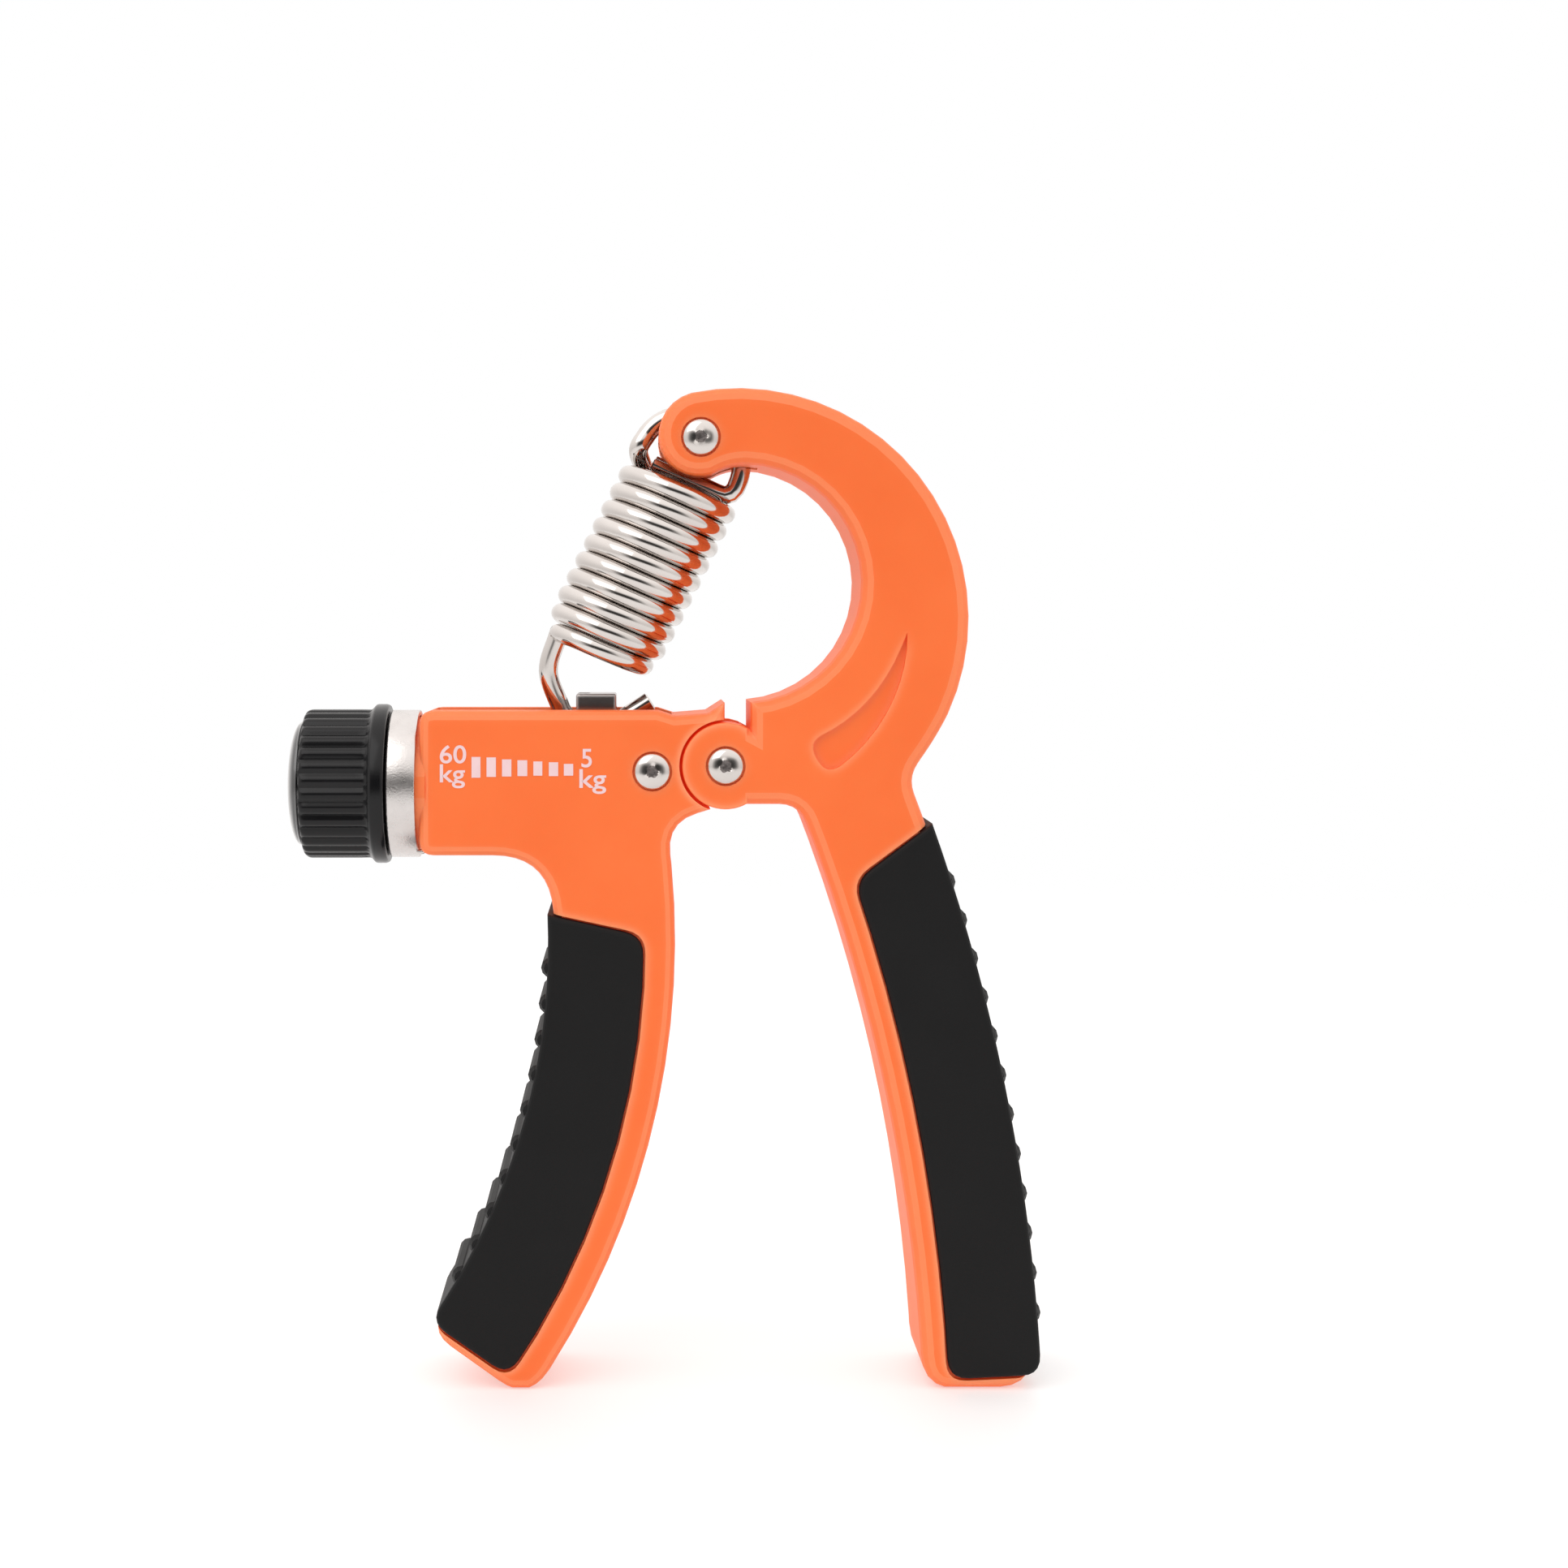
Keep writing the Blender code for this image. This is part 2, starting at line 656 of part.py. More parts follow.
def teardrop_outline():
    """The shallow drop-shaped recess that follows the curved arm."""
    inner, outer = [], []
    for i in range(11):
        share = i / 10
        angle = DROP_TIP_ANGLE + (DROP_END_ANGLE - DROP_TIP_ANGLE) * share
        swell = share**0.8
        inner += arc(HOOK_OUTER, DROP_RADIUS - DROP_WIDTH * 0.72 * swell, angle, angle, 2)[:1]
        outer += arc(HOOK_OUTER, DROP_RADIUS + DROP_WIDTH * 0.28 * swell, angle, angle, 2)[:1]
    outline = inner + outer[:0:-1]
    for corner in (inner[-1], outer[-1]):
        outline = soften(outline, corner, DROP_WIDTH * 0.48, 6)
    return spread(outline)


def nose_slot_outline():
    """The space between the two cheeks of the nose, open above its left part."""
    top = NOSE_Z + 2 * EAR_RADIUS
    low = NOSE_Z - 2 * EAR_RADIUS
    left = NOSE_X - 2 * EAR_RADIUS
    outline = [(left, low), (left, top), (NOSE_X + NOSE_SLOT_TOP_REACH, top)]
    outline += [(NOSE_X + NOSE_SLOT_TOP_REACH, NOSE_Z + NOSE_SLOT_SHOULDER)]
    outline += [(NOSE_X + NOSE_SLOT_LOW_REACH, NOSE_Z), (NOSE_X + NOSE_SLOT_LOW_REACH, low)]
    return outline


def grip_outline(handle, top, slant, strip, margin):
    """Side view of a rubber cover, with a strip of the frame left bare in front of it."""
    foot = handle.foot + handle.turn_of(margin)
    back = handle.outer(-GRIP_STAND)
    front = handle.inner(strip)
    line = handle.run(top, foot, back, 20) + handle.run(foot, top - slant, front, 10)
    for corner in (handle.at(foot, back), handle.at(foot, front), handle.at(top - slant, front)):
        line = soften(line, corner, GRIP_CORNER)
    return spread(line)


def core_outline(handle, top, shrink):
    """The part of a handle that its rubber cover leaves solid."""
    over = handle.turn_of(2 * GRIP_CORNER)
    back = handle.outer(GRIP_WALL - GRIP_STAND + shrink)
    front = handle.inner(-GRIP_CORNER)
    start, end = top + over, handle.foot - over
    return handle.run(start, end, back, 20) + handle.run(end, start, front, 20)


# Pieces


def rib_row(name, handle, top, margin, count, height):
    """Round-ended ribs across the back of a rubber cover, as one cutter."""
    foot = handle.foot + handle.turn_of(margin)
    step = (top - foot) / (count + 2)
    radius = (BUMP_WIDTH**2 / 4 + height**2) / (2 * height)
    back = handle.outer(-GRIP_STAND)
    offset = back - math.copysign(radius - height, back)
    reach = FRAME_WIDTH / 2 + GRIP_SIDE_STAND - GRIP_EDGE / 2
    half = [(reach - radius, radius), (reach - radius * 0.3, radius * 0.7), (reach, 0.0)]
    profile = [(-along, wide) for along, wide in reversed(half)] + half
    row = bmesh.new()
    for i in range(count):
        x, z = handle.at(top - step * (i + 1.5), offset)
        rib = turned(name, profile, "Y", (x, 0.0, z), cutters, 12)
        row.from_mesh(rib.data)
        bpy.data.objects.remove(rib)
    mesh = bpy.data.meshes.new(name)
    row.to_mesh(mesh)
    row.free()
    return new_object(name, mesh, cutters)


def make_cover(name, handle, top, slant, strip, margin, ribs, rib_height, frame, parent):
    """A rubber cover and its seat in the frame."""
    core_width = FRAME_WIDTH - 2 * (GRIP_SIDE_WALL - GRIP_SIDE_STAND)
    outline = grip_outline(handle, top, slant, strip, margin)
    cover = plate(name, outline, FRAME_WIDTH + 2 * GRIP_SIDE_STAND, parts, GRIP_EDGE)
    join(cover, rib_row(name + "_ribs", handle, top, margin, ribs, rib_height))
    cut(cover, plate(name + "_core", core_outline(handle, top, 0.0), core_width, cutters))
    wide_top = top + handle.turn_of(SEAT_GAP)
    seat_outline = grip_outline(handle, wide_top, slant, strip - SEAT_GAP, margin - SEAT_GAP)
    seat = plate(name + "_seat", seat_outline, FRAME_WIDTH + 4 * GRIP_SIDE_STAND, cutters)
    seat_core = core_outline(handle, top, SEAT_GAP)
    cut(seat, plate(name + "_seat_core", seat_core, core_width - 2 * SEAT_GAP, cutters))
    cut(frame, seat)
    finish(cover, RUBBER, parent)


def rivet(name, place, shank_radius, parent):
    """A solid rivet across the frame with a domed, dimpled head at each end."""
    reach = FRAME_WIDTH / 2 - RIVET_RECESS + SEAT_GAP
    dome = [
        (reach, RIVET_HEAD_RADIUS),
        (reach + RIVET_HEAD_HEIGHT * 0.45, RIVET_HEAD_RADIUS * 0.93),
        (reach + RIVET_HEAD_HEIGHT * 0.8, RIVET_HEAD_RADIUS * 0.68),
        (reach + RIVET_HEAD_HEIGHT, RIVET_DIMPLE_RADIUS),
        (reach + RIVET_HEAD_HEIGHT - RIVET_DIMPLE_DEPTH, 0.0),
    ]
    half = [(reach, shank_radius)] + dome
    profile = [(-along, radius) for along, radius in reversed(half)] + half
    item = turned(name, profile, "Y", (place[0], 0.0, place[1]), parts, 24)
    finish(item, NICKEL, parent)


def rivet_hole(name, place, shank_radius, gap):
    """The bore for a rivet, with a shallow recess for each head."""
    flat = FRAME_WIDTH / 2 - RIVET_RECESS
    end = FRAME_WIDTH
    bore, recess = shank_radius + gap, RIVET_HEAD_RADIUS + SEAT_GAP
    profile = [(-end, 0.0), (-end, recess), (-flat, recess), (-flat, bore)]
    profile += [(flat, bore), (flat, recess), (end, recess), (end, 0.0)]
    return turned(name, profile, "Y", (place[0], 0.0, place[1]), cutters, 24)


def make_left_frame(handle):
    """The moulding with the arm, the tongue of the pivot and the left handle."""
    frame = plate("left_handle_frame", left_outline(handle), FRAME_WIDTH, parts, LEFT_EDGE_ROUND)
    tongue_radius = EAR_RADIUS - TONGUE_GAP
    left = PIVOT_X - EAR_RADIUS - TONGUE_ROOT
    tongue = arc(PIVOT, tongue_radius, -TONGUE_NECK_ANGLE, TONGUE_NECK_ANGLE, 26)
    tongue += [(left, tongue[-1][1]), (left, tongue[0][1])]
    boss_length = COLLAR_LENGTH - COLLAR_WALL
    boss_radius = COLLAR_RADIUS - COLLAR_WALL - SEAT_GAP
    boss_left = ARM_LEFT - boss_length
    ears = rod(
        "ear_recess",
        (PIVOT_X, -FRAME_WIDTH, PIVOT_Z),
        (PIVOT_X, FRAME_WIDTH, PIVOT_Z),
        EAR_RADIUS + EAR_GAP,
        cutters,
        64,
    )
    cut(frame, ears)
    join(
        frame,
        plate("tongue", tongue, TONGUE_WIDTH, cutters),
        rod(
            "boss",
            (boss_left, 0, SCREW_Z),
            (ARM_LEFT + CHANNEL_END_WALL / 2, 0, SCREW_Z),
            boss_radius,
            cutters,
            40,
        ),
    )
    half = CHANNEL_WIDTH / 2
    bush_hole = BUSH_RADIUS + RUNNING_GAP
    flange_hole = BUSH_FLANGE_RADIUS + RUNNING_GAP
    flange_floor = boss_left + BUSH_FLANGE + SEAT_GAP
    outside = (boss_left - ARM_HEIGHT, 0, SCREW_Z)
    cut(
        frame,
        box(
            "channel",
            (CHANNEL_LEFT, -half, CHANNEL_FLOOR_Z),
            (CHANNEL_END, half, ARM_TOP_Z + ARM_HEIGHT),
            cutters,
        ),
        rod("bush_hole", outside, (CHANNEL_LEFT + half, 0, SCREW_Z), bush_hole, cutters),
        rod("flange_hole", outside, (flange_floor, 0, SCREW_Z), flange_hole, cutters),
        rivet_hole("arm_rivet_hole", ARM_RIVET, ARM_SHANK_RADIUS, RUNNING_GAP),
        rod(
            "tongue_hole",
            (PIVOT_X, -FRAME_WIDTH, PIVOT_Z),
            (PIVOT_X, FRAME_WIDTH, PIVOT_Z),
            PIVOT_SHANK_RADIUS + RUNNING_GAP,
            cutters,
            24,
        ),
    )
    return frame


def make_right_frame(handle):
    """The moulding with the nose, the curved arm, the two ears of the pivot and the right handle."""
    frame = plate("right_handle_frame", right_outline(handle), FRAME_WIDTH, parts, RIGHT_EDGE_ROUND)
    ear = arc(PIVOT, EAR_RADIUS - EAR_INSET, 60.0, 300.0, 40)
    join(frame, plate("ear_faces", ear, FRAME_WIDTH, cutters, EAR_EDGE_ROUND))
    left = PIVOT_X - 2 * EAR_RADIUS
    fork = arc(PIVOT, EAR_RADIUS, -90.0, 90.0, 20)
    fork += [(left, PIVOT_Z + EAR_RADIUS), (left, PIVOT_Z - EAR_RADIUS)]
    tools = [
        plate("fork_slot", fork, TONGUE_WIDTH + 2 * TONGUE_GAP, cutters),
        plate("nose_slot", nose_slot_outline(), NOSE_SLOT_WIDTH, cutters),
        rivet_hole("pivot_hole", PIVOT, PIVOT_SHANK_RADIUS, RUNNING_GAP),
        rivet_hole("nose_hole", NOSE, SPRING_SHANK_RADIUS, RUNNING_GAP),
    ]
    for sign, name in ((-1, "front_drop"), (1, "rear_drop")):
        drop = plate(name, teardrop_outline(), 2 * DROP_DEPTH, cutters)
        drop.location.y = sign * FRAME_WIDTH / 2
        tools.append(drop)
    cut(frame, *tools)
    return frame


def make_collar(parent):
    """A pressed steel cup over the round end of the arm."""
    inner = COLLAR_RADIUS - COLLAR_WALL
    hole = SCREW_NECK_RADIUS + RUNNING_GAP
    profile = [
        (0.0, hole),
        (0.0, inner),
        (COLLAR_WALL * 0.6, COLLAR_RADIUS),
        (COLLAR_LENGTH, COLLAR_RADIUS),
        (COLLAR_LENGTH, inner),
        (COLLAR_WALL, inner),
        (COLLAR_WALL, hole),
    ]
    collar = turned("arm_end_collar", profile, "X", (COLLAR_LEFT, 0, SCREW_Z), parts, 48)
    finish(collar, SATIN_STEEL, parent)


def make_front_bush(parent):
    """The flanged bush in the end wall of the arm."""
    left = ARM_LEFT - COLLAR_LENGTH + COLLAR_WALL + SEAT_GAP / 2
    length = CHANNEL_LEFT - left - SEAT_GAP
    bore = SCREW_NECK_RADIUS + RUNNING_GAP
    profile = [
        (0.0, bore),
        (0.0, BUSH_FLANGE_RADIUS),
        (BUSH_FLANGE, BUSH_FLANGE_RADIUS),
        (BUSH_FLANGE, BUSH_RADIUS),
        (length, BUSH_RADIUS),
        (length, bore),
    ]
    finish(turned("screw_front_bush", profile, "X", (left, 0, SCREW_Z), parts), NYLON, parent)


def make_end_bearing(parent):
    """The block at the inner end of the screw, pinned by the arm's rivet."""
    half = CHANNEL_WIDTH / 2 - SEAT_GAP
    right = CHANNEL_END - SEAT_GAP
    left = right - BEARING_LENGTH
    low = CHANNEL_FLOOR_Z + SEAT_GAP
    block = box(
        "screw_end_bearing", (left, -half, low), (right, half, low + BEARING_HEIGHT), parts, BLOCK_EDGE
    )
    bore = SCREW_JOURNAL_RADIUS + RUNNING_GAP
    cut(
        block,
        rod("journal_hole", (left - half, 0, SCREW_Z), (JOURNAL_END + SEAT_GAP, 0, SCREW_Z), bore, cutters, 24),
        rod(
            "bearing_pin_hole",
            (ARM_RIVET[0], -FRAME_WIDTH, ARM_RIVET[1]),
            (ARM_RIVET[0], FRAME_WIDTH, ARM_RIVET[1]),
            ARM_SHANK_RADIUS + RUNNING_GAP,
            cutters,
            24,
        ),
    )
    finish(block, NYLON, parent)


def make_screw(parent):
    """The load screw: a spigot in the knob, a grooved neck, the threaded length and an end journal."""
    start = HUB_LEFT + SEAT_GAP
    web = KNOB_RIGHT - WASHER_SEAT
    groove_left, groove_right = CHANNEL_LEFT, CHANNEL_LEFT + CLIP_THICKNESS + 2 * SEAT_GAP
    thread_end = CHANNEL_END - 2 * SEAT_GAP - BEARING_LENGTH
    pilot = FIXING_SHANK_RADIUS + RUNNING_GAP
    profile = [
        (start + FIXING_SHANK_LENGTH + SEAT_GAP, 0.0),
        (start + FIXING_SHANK_LENGTH + SEAT_GAP, pilot),
        (start, pilot),
        (start, SCREW_JOURNAL_RADIUS),
        (web + SEAT_GAP, SCREW_JOURNAL_RADIUS),
        (web + SEAT_GAP, SCREW_NECK_RADIUS),
        (groove_left, SCREW_NECK_RADIUS),
        (groove_left, CLIP_GROOVE),
        (groove_right, CLIP_GROOVE),
        (groove_right, SCREW_RADIUS),
        (thread_end, SCREW_RADIUS),
        (thread_end, SCREW_JOURNAL_RADIUS),
        (JOURNAL_END, SCREW_JOURNAL_RADIUS),
        (JOURNAL_END, 0.0),
    ]
    finish(turned("adjusting_screw", profile, "X", (0, 0, SCREW_Z), parts, 24), ZINC_STEEL, parent)


def make_clip(parent):
    """The open spring clip that keeps the screw in the arm."""
    left = CHANNEL_LEFT + SEAT_GAP
    bore = CLIP_GROOVE + RUNNING_GAP
    profile = [(0.0, bore), (0.0, CLIP_RADIUS), (CLIP_THICKNESS, CLIP_RADIUS), (CLIP_THICKNESS, bore)]
    clip = turned("screw_clip", profile, "X", (left, 0, SCREW_Z), parts, 24)
    half = CLIP_GROOVE * 0.8
    mouth = box(
        "clip_mouth",
        (left - CLIP_RADIUS, -half, SCREW_Z),
        (left + CLIP_RADIUS, half, SCREW_Z + 2 * CLIP_RADIUS),
        cutters,
    )
    cut(clip, mouth)
    finish(clip, ZINC_STEEL, parent)


def make_knob(parent):
    """The fluted knob with its web and hub, open at the left for the fixing screw."""
    length = KNOB_LENGTH
    cavity = KNOB_RADIUS - KNOB_WALL
    flange = length - KNOB_FLANGE
    web = length - WASHER_SEAT
    seat = WASHER_RADIUS + SEAT_GAP
    bore = SCREW_JOURNAL_RADIUS + RUNNING_GAP
    neck = KNOB_RADIUS - KNOB_NECK_DEPTH
    profile = [
        (web, bore),
        (web, seat),
        (length, seat),
        (length, KNOB_FLANGE_RADIUS - KNOB_CORNER / 2),
        (length - KNOB_CORNER / 2, KNOB_FLANGE_RADIUS),
        (flange + KNOB_CORNER, KNOB_FLANGE_RADIUS),
        (flange + KNOB_CORNER / 2, KNOB_FLANGE_RADIUS - KNOB_CORNER / 2),
        (flange, neck),
        (flange - KNOB_CORNER, neck),
        (flange - 2 * KNOB_CORNER, KNOB_RADIUS),
        (2 * KNOB_CORNER, KNOB_RADIUS),
        (KNOB_CORNER / 2, KNOB_RADIUS - KNOB_CORNER / 2),
        (0.0, KNOB_RADIUS - KNOB_CORNER),
        (0.0, cavity),
        (web - KNOB_WEB, cavity),
        (web - KNOB_WEB, KNOB_HUB_RADIUS),
        (web - KNOB_WEB - KNOB_HUB_LENGTH, KNOB_HUB_RADIUS),
        (web - KNOB_WEB - KNOB_HUB_LENGTH, bore),
    ]
    knob = turned("knob_body", profile, "X", (KNOB_LEFT, 0, SCREW_Z), parts, 2 * KNOB_FLUTES)
    for vertex in knob.data.vertices:
        x, y, z = vertex.co.x - KNOB_LEFT, vertex.co.y, vertex.co.z - SCREW_Z
        reach = math.hypot(y, z)
        place = round(math.atan2(z, y) / math.pi * KNOB_FLUTES)
        on_grip = KNOB_CORNER < x < flange - 1.5 * KNOB_CORNER and reach > cavity + SEAT_GAP
        if on_grip and place % 2:
            share = (reach - KNOB_FLUTE_DEPTH) / reach
            vertex.co.y, vertex.co.z = y * share, SCREW_Z + z * share
    finish(knob, KNOB_BLACK, parent)


def make_cap(parent):
    """The domed cap that plugs into the knob over its fixing screw."""
    rim = KNOB_LEFT - SEAT_GAP
    plug = KNOB_RADIUS - KNOB_WALL - RUNNING_GAP
    rise = CAP_DOME - CAP_RIM
    turns = [math.radians(angle) for angle in range(0, 91, 15)]
    dome = [(-CAP_RIM - rise * math.cos(turn), CAP_RADIUS * math.sin(turn)) for turn in turns]
    profile = dome + [
        (0.0, CAP_RADIUS),
        (0.0, plug),
        (CAP_PLUG_DEPTH, plug),
        (CAP_PLUG_DEPTH, plug - CAP_PLUG_WALL),
        (0.0, plug - CAP_PLUG_WALL),
        (0.0, 0.0),
    ]
    finish(turned("knob_end_cap", profile, "X", (rim, 0, SCREW_Z), parts, 40), KNOB_BLACK, parent)


def make_fixing_screw(parent):
    """The pan-head screw that holds the knob on the load screw."""
    seat = HUB_LEFT - RUNNING_GAP
    head = FIXING_HEAD_HEIGHT
    profile = [
        (-head + SLOT_DEPTH, 0.0),
        (-head + SLOT_DEPTH, SLOT_RADIUS),
        (-head, SLOT_RADIUS),
        (-head * 0.9, FIXING_HEAD_RADIUS * 0.75),
        (-head * 0.4, FIXING_HEAD_RADIUS),
        (0.0, FIXING_HEAD_RADIUS),
        (0.0, FIXING_SHANK_RADIUS),
        (FIXING_SHANK_LENGTH, FIXING_SHANK_RADIUS),
        (FIXING_SHANK_LENGTH, 0.0),
    ]
    finish(turned("knob_fixing_screw", profile, "X", (seat, 0, SCREW_Z), parts, 24), ZINC_STEEL, parent)


def make_washer(parent):
    """The thrust washer between the knob and the collar."""
    bore = SCREW_NECK_RADIUS + RUNNING_GAP
    right = KNOB_RIGHT
    left = right - WASHER_THICKNESS
    profile = [(left, bore), (left, WASHER_RADIUS), (right, WASHER_RADIUS), (right, bore)]
    finish(turned("thrust_washer", profile, "X", (0, 0, SCREW_Z), parts), BRASS, parent)


def make_traveller(parent):
    """The nut on the screw and the steel strap round it that holds the spring's hook."""
    half_x = TRAVELLER_LENGTH / 2
    half_nut = NUT_WIDTH / 2
    nut_low, nut_top = SCREW_Z - NUT_HEIGHT / 2, SCREW_Z + NUT_HEIGHT / 2
    nut = box(
        "traveller_nut",
        (TRAVELLER_X - half_x, -half_nut, nut_low),
        (TRAVELLER_X + half_x, half_nut, nut_top),
        parts,
        BLOCK_EDGE,
    )
    cut(
        nut,
        rod(
            "nut_thread",
            (TRAVELLER_X - 2 * half_x, 0, SCREW_Z),
            (TRAVELLER_X + 2 * half_x, 0, SCREW_Z),
            SCREW_RADIUS + RUNNING_GAP,
            cutters,
        ),
    )
    finish(nut, BRASS, parent)
    inner_half = half_nut + SEAT_GAP
    outer_half = inner_half + STRAP_WALL
    inner_low, inner_top = nut_low - SEAT_GAP, STRAP_TOP_Z - STRAP_CROWN
    strap = box(
        "traveller_strap",
        (TRAVELLER_X - half_x, -outer_half, inner_low - STRAP_WALL),
        (TRAVELLER_X + half_x, outer_half, STRAP_TOP_Z),
        parts,
        STRAP_EDGE,
    )
    window = box(
        "strap_window",
        (TRAVELLER_X - 2 * half_x, -inner_half, inner_low),
        (TRAVELLER_X + 2 * half_x, inner_half, inner_top),
        cutters,
    )
    room = WIRE_RADIUS + SEAT_GAP
    notch = box(
        "strap_notch",
        (TRAVELLER_X - 2 * half_x, -room, SCREW_Z),
        (TRAVELLER_X - half_x + STRAP_NOTCH, room, STRAP_TOP_Z + STRAP_WALL),
        cutters,
    )
    cut(strap, window, notch)
    finish(strap, ZINC_STEEL, parent)


def make_sleeve(parent):
    """The steel sleeve on the nose's rivet, on which the spring's loop bears."""
    bore = SPRING_SHANK_RADIUS + RUNNING_GAP / 2
    half = NOSE_SLOT_WIDTH / 2 - RUNNING_GAP
    profile = [(-half, bore), (-half, SLEEVE_RADIUS), (half, SLEEVE_RADIUS), (half, bore)]
    finish(turned("spring_sleeve", profile, "Y", (NOSE_X, 0, NOSE_Z), parts, 24), ZINC_STEEL, parent)


def smooth_path(points, each=4):
    """A curve through the points, with `each` steps from one to the next."""
    ends = [2 * points[0] - points[1]] + points + [2 * points[-1] - points[-2]]
    path = []
    for a, b, c, d in zip(ends, ends[1:], ends[2:], ends[3:]):
        for i in range(each):
            t = i / each
            bend = (2 * a - 5 * b + 4 * c - d) * t**2 + (3 * b - a - 3 * c + d) * t**3
            path.append(0.5 * (2 * b + (c - a) * t + bend))
    return path + [points[-1]]


def coil_point(turns):
    """A point of the coil, `turns` below the left side of its top turn."""
    angle = math.pi - 2 * math.pi * turns
    low = max(0.0, turns - (COIL_TURNS - COIL_TAPER_TURNS)) / COIL_TAPER_TURNS
    radius = COIL_RADIUS - COIL_TAPER * low * low
    middle = COIL_TOP - COIL_UP * COIL_PITCH * (turns - 0.5)
    return middle + radius * (math.cos(angle) * COIL_ACROSS + math.sin(angle) * Vector((0, 1, 0)))


def make_spring(upper, lower):
    """The spring wire: the coil with its upper loop, and its lower hook."""
    loop = [
        LOOP_CENTRE
        + LOOP_LONG * math.cos(math.radians(a)) * LOOP_ACROSS
        + LOOP_SHORT * math.sin(math.radians(a)) * LOOP_UP
        for a in range(168, -1, -12)
    ]
    bar = [
        LOOP_CENTRE + along * LOOP_ACROSS - LOOP_BAR_DROP * drop * LOOP_UP
        for along, drop in (
            (LOOP_LONG * 0.99, 0.3),
            (LOOP_LONG * 0.95, 0.65),
            (LOOP_LONG * 0.85, 0.92),
            (LOOP_LONG * 0.74, 1.0),
            (0.0, 1.0),
            (-LOOP_BAR_END, 1.0),
        )
    ]
    leg = [LOOP_CENTRE - LOOP_LONG * 1.01 * LOOP_ACROSS - LOOP_BAR_DROP * 0.5 * LOOP_UP]
    count = COIL_TURNS * COIL_STEPS
    first = COIL_START
    coil = [coil_point(first + (COIL_END - first) * i / count) for i in range(count + 1)]
    coil.reverse()
    top = coil[-1:] + leg + loop[:1]
    wire = coil[:-1] + smooth_path(top, 3)[:-1] + loop + bar
    finish(tube("spring_coil", wire, WIRE_RADIUS, parts), NICKEL, upper)

    centre = HOOK_SEAT + Vector((-HOOK_BACK, 0, HOOK_RADIUS))
    bowl = [
        centre + HOOK_RADIUS * Vector((math.cos(math.radians(a)), 0, math.sin(math.radians(a))))
        for a in range(208, 303, 13)
    ]
    tail_turn = math.radians(HOOK_TAIL_RISE)
    along_tail = HOOK_TAIL * Vector((math.cos(tail_turn), 0, math.sin(tail_turn)))
    tail = [bowl[-1] + along_tail / 2, bowl[-1] + along_tail]
    gap = SEAT_GAP / (math.pi * (COIL_RADIUS - COIL_TAPER))
    start = [coil_point(COIL_END + gap), coil_point(COIL_END + HOOK_LEAD)]
    bulge = start[-1].lerp(bowl[0], 0.5) - Vector((HOOK_BULGE, 0, 0))
    hook = smooth_path(start + [bulge] + bowl[:1], 4)[:-1] + bowl + tail
    finish(tube("spring_lower_hook", hook, WIRE_RADIUS, parts), NICKEL, lower)


# The model

for old in list(bpy.data.objects):
    bpy.data.objects.remove(old)
scene_collection = bpy.context.scene.collection
parts = bpy.data.collections.new("hand_grip_strengthener")
cutters = bpy.data.collections.new("cutters")
scene_collection.children.link(parts)
scene_collection.children.link(cutters)

left_axis = joint_empty("left_axis", Vector((PIVOT_X, 0, PIVOT_Z)))
right_axis = joint_empty("right_axis", Vector((PIVOT_X, 0, PIVOT_Z)))
knob_axis = joint_empty("knob_axis", Vector((KNOB_RIGHT, 0, SCREW_Z)), left_axis)
traveller_axis = joint_empty("traveller_axis", Vector((TRAVELLER_X, 0, SCREW_Z)), left_axis)
spring_axis = joint_empty("spring_axis", Vector((NOSE_X, 0, NOSE_Z)), right_axis)
hook_axis = joint_empty("hook_axis", HOOK_SEAT, spring_axis)

left_handle = Handle(
    1, LEFT_BEND_RADIUS, LEFT_HANDLE_WIDTH, LEFT_HANDLE_X, LEFT_HANDLE_Z, LEFT_HANDLE_LEAN, LEFT_FOOT_SINK
)
right_handle = Handle(
    -1,
    RIGHT_BEND_RADIUS,
    RIGHT_HANDLE_WIDTH,
    RIGHT_HANDLE_X,
    RIGHT_HANDLE_Z,
    RIGHT_HANDLE_LEAN,
    RIGHT_FOOT_SINK,
)

left_frame = make_left_frame(left_handle)
make_cover(
    "left_grip_cover",
    left_handle,
    LEFT_GRIP_TOP,
    LEFT_GRIP_SLANT,
    LEFT_GRIP_STRIP,
    LEFT_GRIP_FOOT_MARGIN,
    LEFT_BUMPS,
    LEFT_BUMP_HEIGHT,
    left_frame,
    left_axis,
)
finish(left_frame, ORANGE, left_axis)
make_collar(left_axis)
make_front_bush(left_axis)
make_end_bearing(left_axis)
rivet("arm_rivet", ARM_RIVET, ARM_SHANK_RADIUS, left_axis)

make_knob(knob_axis)
make_cap(knob_axis)
make_fixing_screw(knob_axis)
make_screw(knob_axis)
make_clip(knob_axis)
make_washer(knob_axis)
make_traveller(traveller_axis)

right_frame = make_right_frame(right_handle)
make_cover(
    "right_grip_cover",
    right_handle,
    RIGHT_GRIP_TOP,
    RIGHT_GRIP_SLANT,
    RIGHT_GRIP_STRIP,
    RIGHT_GRIP_FOOT_MARGIN,
    RIGHT_BUMPS,
    RIGHT_BUMP_HEIGHT,
    right_frame,
    right_axis,
)
finish(right_frame, ORANGE, right_axis)
rivet("pivot_rivet", PIVOT, PIVOT_SHANK_RADIUS, None)
rivet("spring_rivet", NOSE, SPRING_SHANK_RADIUS, right_axis)
make_sleeve(right_axis)
make_spring(spring_axis, hook_axis)
